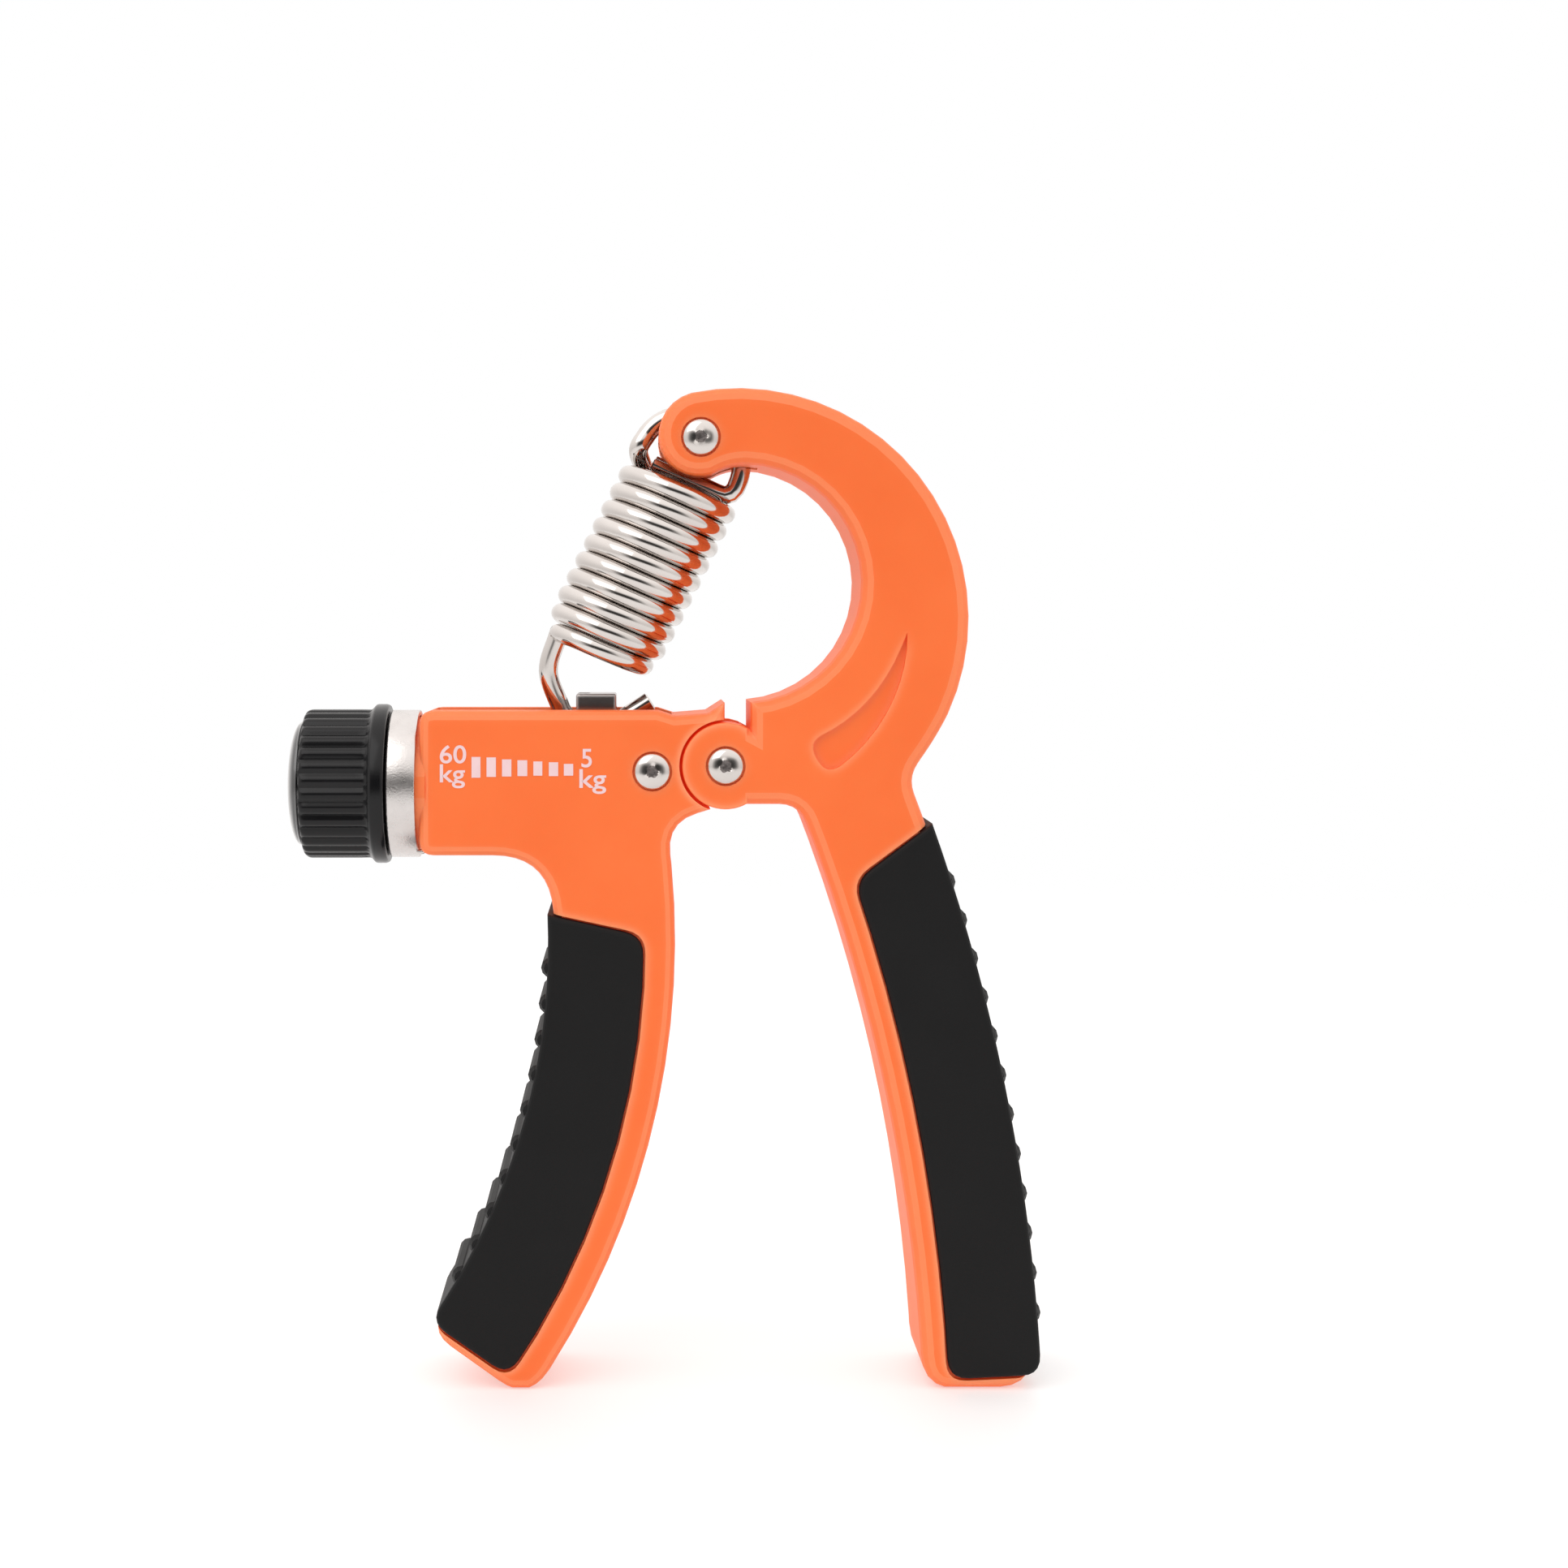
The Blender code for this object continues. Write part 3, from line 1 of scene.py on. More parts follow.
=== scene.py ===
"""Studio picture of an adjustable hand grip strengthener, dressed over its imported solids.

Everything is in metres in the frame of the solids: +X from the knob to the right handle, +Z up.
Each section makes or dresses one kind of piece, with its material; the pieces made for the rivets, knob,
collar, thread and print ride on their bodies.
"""

import math

import bmesh
import bpy
from mathutils import Matrix, Vector


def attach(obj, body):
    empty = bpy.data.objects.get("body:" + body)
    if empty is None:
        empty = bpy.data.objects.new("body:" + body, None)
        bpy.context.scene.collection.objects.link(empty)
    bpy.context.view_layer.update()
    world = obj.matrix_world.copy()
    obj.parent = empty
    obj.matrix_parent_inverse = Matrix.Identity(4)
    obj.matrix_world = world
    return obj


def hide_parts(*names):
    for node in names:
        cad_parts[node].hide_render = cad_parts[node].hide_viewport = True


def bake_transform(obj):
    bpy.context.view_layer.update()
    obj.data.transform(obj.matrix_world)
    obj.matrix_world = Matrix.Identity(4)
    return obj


MM = 0.001
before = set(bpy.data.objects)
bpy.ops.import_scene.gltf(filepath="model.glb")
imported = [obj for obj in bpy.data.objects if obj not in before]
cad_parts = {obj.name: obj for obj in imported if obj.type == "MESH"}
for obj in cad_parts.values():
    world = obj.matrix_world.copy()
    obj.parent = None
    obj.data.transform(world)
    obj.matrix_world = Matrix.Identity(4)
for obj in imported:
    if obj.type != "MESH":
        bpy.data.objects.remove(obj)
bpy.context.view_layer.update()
scene = bpy.context.scene
scene.view_settings.view_transform = "Standard"

# Camera: the photograph's viewpoint, level with the spring's middle and close to the object.
CAMERA_PLACE = (-3.66 * MM, -380.0 * MM, 114.3 * MM)
PHOTO_SIDE = 1932.0
FOCAL_PIXELS = 3042.0
PRINCIPAL_POINT = (790.0, 773.0)

camera_data = bpy.data.cameras.new("camera")
camera_data.sensor_width = 36.0
camera_data.lens = FOCAL_PIXELS / PHOTO_SIDE * camera_data.sensor_width
camera_data.shift_x = 0.5 - PRINCIPAL_POINT[0] / PHOTO_SIDE
camera_data.shift_y = PRINCIPAL_POINT[1] / PHOTO_SIDE - 0.5
camera_data.clip_start = 0.01
camera = bpy.data.objects.new("camera", camera_data)
camera.location = CAMERA_PLACE
camera.rotation_euler = (math.radians(90.0), 0.0, 0.0)
scene.collection.objects.link(camera)
scene.camera = camera

# Light: a pale room, brighter above, with a low dark band round the camera that the metal mirrors,
# and one wide soft panel at the upper left. The background itself is white.
BACKGROUND = (1.0, 1.0, 1.0, 1.0)
ROOM_TINT = (1.0, 0.97, 0.95, 1.0)
CAMERA_SIDE = (-0.97, -0.62, 1.0, 0.0)
CAMERA_LEVEL = (0.12, 0.42, 1.0, 0.0)
BAND_RISE, BAND_DEPTH = 0.06, 0.95
ROOM_HEIGHT = (-0.2, 0.9, 0.95, 1.4)
PANEL_PLACE, PANEL_SIDE, PANEL_POWER = (-0.7, -0.9, 1.2), 1.3, 5.0
AIM = Vector((0.0, 0.0, 75.0 * MM))


def add(tree, kind, **settings):
    """A new node with its settings."""
    node = tree.nodes.new(kind)
    for key, value in settings.items():
        setattr(node, key, value)
    return node


def feed(tree, node, **inputs):
    """Connect sockets or set values, by input name with underscores for spaces."""
    for key, value in inputs.items():
        socket = node.inputs[key.replace("_", " ")]
        if isinstance(value, bpy.types.NodeSocket):
            tree.links.new(value, socket)
        else:
            socket.default_value = value
    return node


def worked_out(tree, operation, first, second=None, clamp=False):
    """The result of one sum on sockets or numbers."""
    node = add(tree, "ShaderNodeMath", operation=operation, use_clamp=clamp)
    for socket, value in zip(node.inputs, (first, second)):
        if isinstance(value, bpy.types.NodeSocket):
            tree.links.new(value, socket)
        elif value is not None:
            socket.default_value = value
    return node.outputs["Value"]


def eased(tree, source, span):
    """A value taken smoothly from one range to another: from low, from high, to low, to high."""
    node = add(tree, "ShaderNodeMapRange", interpolation_type="SMOOTHSTEP")
    feed(tree, node, Value=source, From_Min=span[0], From_Max=span[1], To_Min=span[2], To_Max=span[3])
    return node.outputs["Result"]


world = bpy.data.worlds.new("surround")
world.use_nodes = True
scene.world = world
room = world.node_tree
room.nodes.clear()
way = add(room, "ShaderNodeTexCoord")
parts = feed(room, add(room, "ShaderNodeSeparateXYZ"), Vector=way.outputs["Generated"])
level = worked_out(room, "ABSOLUTE", worked_out(room, "SUBTRACT", parts.outputs["Z"], BAND_RISE))
near_camera = eased(room, parts.outputs["Y"], CAMERA_SIDE)
near_level = eased(room, level, CAMERA_LEVEL)
band = worked_out(room, "MULTIPLY", near_camera, near_level)
left_over = feed(room, add(room, "ShaderNodeMapRange"), Value=band, To_Min=1.0, To_Max=1.0 - BAND_DEPTH)
overhead = eased(room, parts.outputs["Z"], ROOM_HEIGHT)
strength = worked_out(room, "MULTIPLY", left_over.outputs["Result"], overhead)
around = feed(room, add(room, "ShaderNodeBackground"), Color=ROOM_TINT, Strength=strength)
seen = feed(room, add(room, "ShaderNodeBackground"), Color=BACKGROUND)
ray = add(room, "ShaderNodeLightPath")
choice = feed(room, add(room, "ShaderNodeMixShader"), Fac=ray.outputs["Is Camera Ray"])
room.links.new(around.outputs["Background"], choice.inputs[1])
room.links.new(seen.outputs["Background"], choice.inputs[2])
feed(room, add(room, "ShaderNodeOutputWorld"), Surface=choice.outputs["Shader"])

panel_data = bpy.data.lights.new("soft_panel", "AREA")
panel_data.shape = "SQUARE"
panel_data.size = PANEL_SIDE
panel_data.energy = PANEL_POWER
panel = bpy.data.objects.new("soft_panel", panel_data)
panel.location = PANEL_PLACE
panel.rotation_euler = (AIM - Vector(PANEL_PLACE)).to_track_quat("-Z", "Y").to_euler()
scene.collection.objects.link(panel)

# Floor: a pale matt disc under the feet, with a faint light of its own, that fades into the white.
FLOOR_RADIUS = 0.9
FLOOR_FADE = (0.2, 0.75, 1.0, 0.0)
FLOOR_COLOUR, FLOOR_ROUGHNESS = (0.55, 0.55, 0.55, 1.0), 0.55
FLOOR_LIGHT, FLOOR_LIGHT_STRENGTH = (1.0, 1.0, 1.0, 1.0), 0.4


def dress(item, *materials):
    """Give an object these materials only."""
    item.data.materials.clear()
    for material in materials:
        item.data.materials.append(material)


floor_mesh = bpy.data.meshes.new("floor")
shape = bmesh.new()
bmesh.ops.create_circle(shape, cap_ends=True, segments=96, radius=FLOOR_RADIUS)
shape.to_mesh(floor_mesh)
shape.free()
floor = bpy.data.objects.new("floor", floor_mesh)
scene.collection.objects.link(floor)
floor_look = bpy.data.materials.new("floor")
floor_look.use_nodes = True
tree = floor_look.node_tree
place = add(tree, "ShaderNodeTexCoord")
distance = add(tree, "ShaderNodeVectorMath", operation="LENGTH")
tree.links.new(place.outputs["Object"], distance.inputs[0])
feed(
    tree,
    tree.nodes["Principled BSDF"],
    Base_Color=FLOOR_COLOUR,
    Roughness=FLOOR_ROUGHNESS,
    Emission_Color=FLOOR_LIGHT,
    Emission_Strength=FLOOR_LIGHT_STRENGTH,
    Alpha=eased(tree, distance.outputs["Value"], FLOOR_FADE),
)
dress(floor, floor_look)

# Frames: the two orange mouldings keep their solids' shape. Slightly glossy moulded plastic, with a
# painted highlight of paler orange along its rounded edges, and a painted dark red glow in its narrow
# seams that stands in for light coming through the plastic.
ORANGE_DARK = (0.88, 0.153, 0.034)
ORANGE_LIGHT = (0.98, 0.203, 0.053)
# Painted highlight: this paler orange is blended into the frames' colour on their edges and fillets.
ORANGE_PAINTED_HIGHLIGHT = (1.0, 0.38, 0.19, 1.0)
EDGE_REACH, EDGE_GAIN = 2.4 * MM, 3.0
EDGE_FRONT = (0.1, 0.5, 0.0, 1.0)
EDGE_BAND = ((0.3, 0.02), (0.7, 0.18), (0.88, 0.3), (0.96, 0.36))
# Painted glow: a dark red light given off where ambient occlusion finds a narrow seam, in place of light
# through the plastic.
PAINTED_SEAM_GLOW_COLOUR, PAINTED_SEAM_GLOW_STRENGTH = (0.62, 0.035, 0.008, 1.0), 0.17
SEAM_REACH, SEAM_HIDDEN = 2.5 * MM, (0.02, 0.4, 1.0, 0.0)
NO_LIGHT = (0.0, 0.0, 0.0, 1.0)


def make_grain_group():
    """Fine moulded or worn grain: a mask of broad cloudy variation, and a bumped normal."""
    group = bpy.data.node_groups.new("fine_grain", "ShaderNodeTree")
    for label in ("Grain Scale", "Cloud Scale", "Height"):
        group.interface.new_socket(label, in_out="INPUT", socket_type="NodeSocketFloat")
    group.interface.new_socket("Clouds", in_out="OUTPUT", socket_type="NodeSocketFloat")
    group.interface.new_socket("Normal", in_out="OUTPUT", socket_type="NodeSocketVector")
    given, out = group.nodes.new("NodeGroupInput"), group.nodes.new("NodeGroupOutput")
    place = add(group, "ShaderNodeTexCoord").outputs["Object"]
    grain = feed(
        group, add(group, "ShaderNodeTexNoise"), Vector=place, Scale=given.outputs["Grain Scale"], Detail=3.0
    )
    clouds = feed(
        group, add(group, "ShaderNodeTexNoise"), Vector=place, Scale=given.outputs["Cloud Scale"], Detail=4.0
    )
    bump = add(group, "ShaderNodeBump")
    feed(group, bump, Height=grain.outputs["Fac"], Strength=given.outputs["Height"], Distance=0.1 * MM)
    feed(group, out, Clouds=clouds.outputs["Fac"], Normal=bump.outputs["Normal"])
    return group


GRAIN_GROUP = make_grain_group()


def blended(tree, mask, low, high):
    """A colour between two, by a mask. Each colour is a socket or four numbers."""
    node = add(tree, "ShaderNodeMix", data_type="RGBA")
    tree.links.new(mask, node.inputs["Factor"])
    for socket, value in ((node.inputs["A"], low), (node.inputs["B"], high)):
        if isinstance(value, bpy.types.NodeSocket):
            tree.links.new(value, socket)
        else:
            socket.default_value = value
    return node.outputs["Result"]


def finish_of(name, dark, light, rough, grain, **shader_values):
    """A material whose colour drifts from dark to light and whose roughness drifts within `rough`.

    `grain` holds the scale of the grain, the scale of the clouds and the height of the grain.
    """
    material = bpy.data.materials.new(name)
    material.use_nodes = True
    tree = material.node_tree
    detail = add(tree, "ShaderNodeGroup", node_tree=GRAIN_GROUP)
    feed(tree, detail, Grain_Scale=grain[0], Cloud_Scale=grain[1], Height=grain[2])
    clouds = detail.outputs["Clouds"]
    colour = blended(tree, clouds, (*dark, 1.0), (*light, 1.0))
    roughness = feed(tree, add(tree, "ShaderNodeMapRange"), Value=clouds, To_Min=rough[0], To_Max=rough[1])
    shader = feed(
        tree,
        tree.nodes["Principled BSDF"],
        Base_Color=colour,
        Roughness=roughness.outputs["Result"],
        Normal=detail.outputs["Normal"],
        **shader_values,
    )
    return material, tree, shader, colour


def painted_highlight_mask(tree):
    """A mask for the painted highlight: 1 on edges between the front or back and the sides, and less on rounded
    ones.
    """
    rounded = feed(tree, add(tree, "ShaderNodeBevel", samples=6), Radius=EDGE_REACH)
    flat = add(tree, "ShaderNodeNewGeometry")
    likeness = add(tree, "ShaderNodeVectorMath", operation="DOT_PRODUCT")
    tree.links.new(rounded.outputs["Normal"], likeness.inputs[0])
    tree.links.new(flat.outputs["Normal"], likeness.inputs[1])
    turn = worked_out(tree, "SUBTRACT", 1.0, likeness.outputs["Value"], clamp=True)
    sharp = worked_out(tree, "MULTIPLY", turn, EDGE_GAIN, clamp=True)
    parts = feed(tree, add(tree, "ShaderNodeSeparateXYZ"), Vector=flat.outputs["Normal"])
    front = worked_out(tree, "ABSOLUTE", parts.outputs["Y"])
    sharp_front = worked_out(tree, "MULTIPLY", sharp, eased(tree, front, EDGE_FRONT))
    band = feed(tree, add(tree, "ShaderNodeFloatCurve"), Value=front)
    curve = band.mapping.curves[0]
    for point in EDGE_BAND:
        curve.points.new(*point)
    curve.points[-1].location = (1.0, 0.0)
    band.mapping.update()
    return worked_out(tree, "MAXIMUM", sharp_front, band.outputs["Value"])


def soft_shading(item, angle=32.0):
    """Smooth faces, with the edges over an angle kept sharp."""
    item.data.shade_smooth()
    item.data.set_sharp_from_angle(angle=math.radians(angle))


orange, tree, shader, colour = finish_of(
    "orange_plastic",
    ORANGE_DARK,
    ORANGE_LIGHT,
    (0.42, 0.52),
    (2600.0, 60.0, 0.05),
    IOR=1.32,
    Subsurface_Weight=0.2,
    Subsurface_Scale=1.2 * MM,
    Emission_Strength=PAINTED_SEAM_GLOW_STRENGTH,
)
# The painted glow in the seams and the painted highlight on the edges go into the frames' shader here.
hidden = feed(tree, add(tree, "ShaderNodeAmbientOcclusion", samples=8), Distance=SEAM_REACH)
painted_glow_mask = eased(tree, hidden.outputs["AO"], SEAM_HIDDEN)
feed(
    tree,
    shader,
    Base_Color=blended(tree, painted_highlight_mask(tree), colour, ORANGE_PAINTED_HIGHLIGHT),
    Emission_Color=blended(tree, painted_glow_mask, NO_LIGHT, PAINTED_SEAM_GLOW_COLOUR),
)

for node_name in ("left_handle_frame", "right_handle_frame"):
    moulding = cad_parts[node_name]
    soft_shading(moulding)
    moulding.modifiers.new("even_faces", "WEIGHTED_NORMAL").keep_sharp = True
    dress(moulding, orange)

# Rubber covers: matt black rubber pushed over the handles, with cross ribs on the back. They keep
# their solids' shape.
rubber = finish_of(
    "rubber",
    (0.006, 0.006, 0.0062),
    (0.009, 0.009, 0.0093),
    (0.50, 0.62),
    (5200.0, 120.0, 0.15),
    IOR=1.27,
)[0]
for node_name in ("left_grip_cover", "right_grip_cover"):
    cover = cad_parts[node_name]
    soft_shading(cover)
    dress(cover, rubber)


# Inside the arm: a bush and a bearing of white nylon, zinc-plated screws, clip and sleeve, a brass nut
# and washer, and a bent strap of darker steel. They keep their solids' shape.
def metal(name, dark, light, rough, grain):
    """A metal finish, with cloudy variation in its plating."""
    return finish_of(name, dark, light, rough, grain, Metallic=1.0)[0]


STRAP_EDGE = 0.7 * MM
zinc = metal("zinc_plate", (0.50, 0.51, 0.53), (0.66, 0.66, 0.68), (0.25, 0.4), (2500.0, 200.0, 0.15))
brass = metal("brass", (0.60, 0.44, 0.18), (0.74, 0.56, 0.26), (0.25, 0.38), (2500.0, 160.0, 0.1))
nylon = finish_of("nylon", (0.72, 0.71, 0.67), (0.8, 0.79, 0.75), (0.42, 0.55), (3000.0, 90.0, 0.1), IOR=1.5)[0]
strap_steel, tree, shader, _ = finish_of(
    "strap_steel",
    (0.36, 0.33, 0.32),
    (0.46, 0.43, 0.42),
    (0.16, 0.24),
    (2500.0, 200.0, 0.05),
    Metallic=1.0,
)
rounded = feed(tree, add(tree, "ShaderNodeBevel", samples=6), Radius=STRAP_EDGE)
feed(tree, shader, Normal=rounded.outputs["Normal"])
for material, names in (
    (nylon, ("screw_front_bush", "screw_end_bearing")),
    (strap_steel, ("traveller_strap",)),
    (zinc, ("adjusting_screw", "screw_clip", "knob_fixing_screw", "spring_sleeve")),
    (brass, ("thrust_washer", "traveller_nut")),
):
    for node_name in names:
        soft_shading(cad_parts[node_name])
        dress(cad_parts[node_name], material)

# Rivets: solid nickel-plated rivets through both sides. Each domed head has the small uneven dimple
# that the punch left, with a darker, rougher floor.
RIVET_SEAT = 9.9 * MM
HEAD_RADIUS, HEAD_HEIGHT = 2.76 * MM, 1.15 * MM
HEAD_RIM, HEAD_UNDERSIDE, HEAD_FULLNESS = 0.08 * MM, 0.97, 0.85
HEAD_STEPS, HEAD_SIDES = 12, 48
DIMPLE_RADIUS = 0.95 * MM
DIMPLE_FALL = ((0.03 * MM, 1.0), (0.16 * MM, 0.85), (0.22 * MM, 0.5), (0.25 * MM, 0.0))
DIMPLE_WAVES = ((5, 1, 0.10), (3, 2, 0.12))
UPPER_HEAD = RIVET_SEAT + 0.5 * MM
RIVETS = {
    "pivot_rivet": ((9.0, 93.5), 1.9, "pivot"),
    "arm_rivet": ((-2.0, 92.7), 1.6, "left_handle"),
    "spring_rivet": ((5.3, 142.85), 1.6, "right_handle"),
}
nickel = metal("bright_nickel", (0.56, 0.525, 0.50), (0.68, 0.645, 0.62), (0.07, 0.13), (900.0, 150.0, 0.008))
punched = metal("punched_nickel", (0.07, 0.06, 0.058), (0.30, 0.27, 0.26), (0.3, 0.5), (2600.0, 1900.0, 0.5))


def new_piece(name, mesh, material, body):
    """A mesh piece with its material, riding on a body."""
    item = bpy.data.objects.new(name, mesh)
    scene.collection.objects.link(item)
    dress(item, material)
    soft_shading(item)
    if body is not None:
        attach(item, body)
    return item


def turned_mesh(name, profile, axis, place, steps):
    """A mesh turned about X or Y from a closed profile of (along, radius) pairs."""
    shape = bmesh.new()
    rings = []
    for along, radius in profile:
        count = steps if radius > 0.0 else 1
        ring = []
        for i in range(count):
            turn = 2 * math.pi * i / steps
            across, aside = radius * math.cos(turn), radius * math.sin(turn)
            corner = (along, across, aside) if axis == "X" else (across, along, aside)
            ring.append(shape.verts.new(Vector(place) + Vector(corner)))
        rings.append(ring)
    pairs = list(zip(rings, rings[1:]))
    if len(rings[0]) > 1:
        pairs.append((rings[-1], rings[0]))
    for one, two in pairs:
        for i in range(steps):
            j = (i + 1) % steps
            corners = [one[i % len(one)], one[j % len(one)], two[j % len(two)], two[i % len(two)]]
            unique = list(dict.fromkeys(corners))
            if len(unique) > 2:
                shape.faces.new(unique)
    bmesh.ops.recalc_face_normals(shape, faces=shape.faces)
    mesh = bpy.data.meshes.new(name)
    shape.to_mesh(mesh)
    shape.free()
    return mesh


def rivet_profile(shank):
    """Half of a rivet's profile, from its shank over the head to the middle of the dimple."""
    rim = RIVET_SEAT + HEAD_RIM
    half = [(RIVET_SEAT, shank), (RIVET_SEAT, HEAD_RADIUS * HEAD_UNDERSIDE), (rim, HEAD_RADIUS)]
    for i in range(1, HEAD_STEPS):
        turn = math.pi / 2 * i / HEAD_STEPS
        radius = HEAD_RADIUS * math.cos(turn) ** HEAD_FULLNESS
        if radius > DIMPLE_RADIUS:
            half.append((rim + (HEAD_HEIGHT - HEAD_RIM) * math.sin(turn), radius))
    for depth, share in DIMPLE_FALL:
        half.append((RIVET_SEAT + HEAD_HEIGHT - depth, DIMPLE_RADIUS * share))
    return half


for rivet_name, ((x, z), shank, body) in RIVETS.items():
    middle = Vector((x * MM, 0.0, z * MM))
    half = rivet_profile(shank * MM)
    profile = [(-along, radius) for along, radius in reversed(half)] + half
    mesh = turned_mesh(rivet_name + "_plated", profile, "Y", middle, HEAD_SIDES)
    seed = sum(map(ord, rivet_name))
    for vertex in mesh.vertices:
        across, up = vertex.co.x - middle.x, vertex.co.z - middle.z
        if abs(vertex.co.y) > UPPER_HEAD and math.hypot(across, up) < DIMPLE_RADIUS * 1.05:
            angle = math.atan2(up, across)
            wave = sum(height * math.sin(lobes * angle + share * seed) for lobes, share, height in DIMPLE_WAVES)
            vertex.co.x = middle.x + across * (1 + wave)
            vertex.co.z = middle.z + up * (1 + wave)
    item = new_piece(rivet_name + "_plated", mesh, nickel, body)
    item.data.materials.append(punched)
    for face in item.data.polygons:
        reach = math.hypot(face.center.x - middle.x, face.center.z - middle.z)
        if abs(face.center.y) > UPPER_HEAD and reach < DIMPLE_RADIUS:
            face.material_index = 1
    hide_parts(rivet_name)

# Spring: one nickel-plated wire, close wound, with a closed loop on the nose's sleeve above and an
# open hook under the traveller's strap below. It is one tube that reaches from one body to the other
# and rides on neither.
WIRE_RADIUS, WIRE_SIDES = 1.475 * MM, 24
WIRE_END = 0.72
COIL_RADIUS, COIL_PITCH = 8.05 * MM, 2.94 * MM
COIL_TURNS, COIL_STEPS = 10, 40
COIL_START, COIL_END = 0.09, 9.96
COIL_TAPER, TAPER_TURNS = 1.3 * MM, 2.0
TOP_DIP, DIP_TURNS = 0.3 * MM, 0.55
LOOP_LEAN, COIL_LEAN = 24.0, 26.8
LOOP_LONG, LOOP_SHORT = 8.0 * MM, 7.4 * MM
LOOP_SWEEP, BOWL_SWEEP = range(168, -1, -6), range(208, 304, 6)
LOOP_HANG, LOOP_DROP = 3.62 * MM, 2.5 * MM
COIL_DROP, COIL_ASIDE = 4.5 * MM, 0.4 * MM
HOOK_RADIUS, HOOK_BACK, HOOK_BULGE = 5.9 * MM, 0.25 * MM, 1.8 * MM
HOOK_TAIL, TAIL_RISE = 6.9 * MM, 33.0
HOOK_SEAT = Vector((-10.5 * MM, 0.0, 98.6 * MM))
NOSE = Vector((5.3 * MM, 0.0, 142.85 * MM))


def tilted(degrees):
    """The across and up directions of something that leans to the right by an angle."""
    turn = math.radians(degrees)
    return Vector((math.cos(turn), 0, -math.sin(turn))), Vector((math.sin(turn), 0, math.cos(turn)))


LOOP_ACROSS, LOOP_UP = tilted(LOOP_LEAN)
COIL_ACROSS, COIL_UP = tilted(COIL_LEAN)
LOOP_CENTRE = NOSE - LOOP_HANG * LOOP_UP
COIL_TOP = LOOP_CENTRE - COIL_DROP * COIL_UP + COIL_ASIDE * COIL_ACROSS


def coil_point(turns):
    """A point of the coil, `turns` below the left side of its top turn."""
    angle = math.pi - 2 * math.pi * turns
    low = max(0.0, turns - (COIL_TURNS - TAPER_TURNS)) / TAPER_TURNS
    radius = COIL_RADIUS - COIL_TAPER * low * low
    dip = TOP_DIP * math.sin(math.pi * min(1.0, turns / DIP_TURNS)) ** 2
    middle = COIL_TOP - COIL_UP * (COIL_PITCH * (turns - 0.5) + dip)
    return middle + radius * (math.cos(angle) * COIL_ACROSS + math.sin(angle) * Vector((0, 1, 0)))


def smooth_path(points, each):
    """A curve through the points, with `each` steps from one to the next."""
    ends = [2 * points[0] - points[1]] + points + [2 * points[-1] - points[-2]]
    path = []
    for a, b, c, d in zip(ends, ends[1:], ends[2:], ends[3:]):
        for i in range(each):
            t = i / each
            curve = 2 * b + (c - a) * t + (2 * a - 5 * b + 4 * c - d) * t**2 + (3 * b - a - 3 * c + d) * t**3
            path.append(0.5 * curve)
    return path + [points[-1]]


def wire_mesh(name, points, radius, sides):
    """A round wire through a path, narrower at its cut ends and with no twist."""
    shape = bmesh.new()
    forward = (points[1] - points[0]).normalized()
    side = forward.orthogonal().normalized()
    rings = []
    last = len(points) - 1
    for i, point in enumerate(points):
        ahead = (points[min(i + 1, last)] - points[max(i - 1, 0)]).normalized()
        side = (side - ahead * side.dot(ahead)).normalized()
        other = ahead.cross(side)
        wide = radius * (WIRE_END if i in (0, last) else 1.0)
        ring = []
        for k in range(sides):
            turn = 2 * math.pi * k / sides
            ring.append(shape.verts.new(point + wide * (math.cos(turn) * side + math.sin(turn) * other)))
        rings.append(ring)
    for one, two in zip(rings, rings[1:]):
        for k in range(sides):
            j = (k + 1) % sides
            shape.faces.new((one[k], one[j], two[j], two[k]))
    shape.faces.new(rings[0][::-1])
    shape.faces.new(rings[-1])
    bmesh.ops.recalc_face_normals(shape, faces=shape.faces)
    mesh = bpy.data.meshes.new(name)
    shape.to_mesh(mesh)
    shape.free()
    return mesh


def around_in_front(degrees):
    """A direction in the front plane, turned from the right and upwards."""
    turn = math.radians(degrees)
    return Vector((math.cos(turn), 0.0, math.sin(turn)))


loop = []
for degrees in LOOP_SWEEP:
    turn = math.radians(degrees)
    loop.append(
        LOOP_CENTRE + LOOP_LONG * math.cos(turn) * LOOP_ACROSS + LOOP_SHORT * math.sin(turn) * LOOP_UP
    )
bar = [
    LOOP_CENTRE + along * LOOP_ACROSS - LOOP_DROP * drop * LOOP_UP
    for along, drop in (
        (LOOP_LONG, 0.3),
        (LOOP_LONG * 0.96, 0.68),
        (LOOP_LONG * 0.86, 0.94),
        (LOOP_LONG * 0.72, 1.0),
        (2.0 * MM, 1.0),
        (-2.0 * MM, 1.0),
        (-5.0 * MM, 1.0),
        (-5.2 * MM, 1.0),
    )
]
leg = LOOP_CENTRE - LOOP_LONG * 1.01 * LOOP_ACROSS - LOOP_DROP * 0.5 * LOOP_UP
count = COIL_TURNS * COIL_STEPS
coil = [coil_point(COIL_START + (COIL_END - COIL_START) * i / count) for i in range(count + 1)]
bowl_centre = HOOK_SEAT + Vector((-HOOK_BACK, 0.0, HOOK_RADIUS))
bowl = [bowl_centre + HOOK_RADIUS * around_in_front(degrees) for degrees in BOWL_SWEEP]
tail = [bowl[-1] + HOOK_TAIL * share * around_in_front(TAIL_RISE) for share in (0.1, 0.3, 0.6, 0.97, 1.0)]
bulge = coil[-1].lerp(bowl[0], 0.5) - Vector((HOOK_BULGE, 0.0, 0.0))
above = smooth_path([coil[0], leg, loop[0]], 8)[1:-1]
below = smooth_path([coil[-1], bulge, bowl[0]], 8)[1:-1]
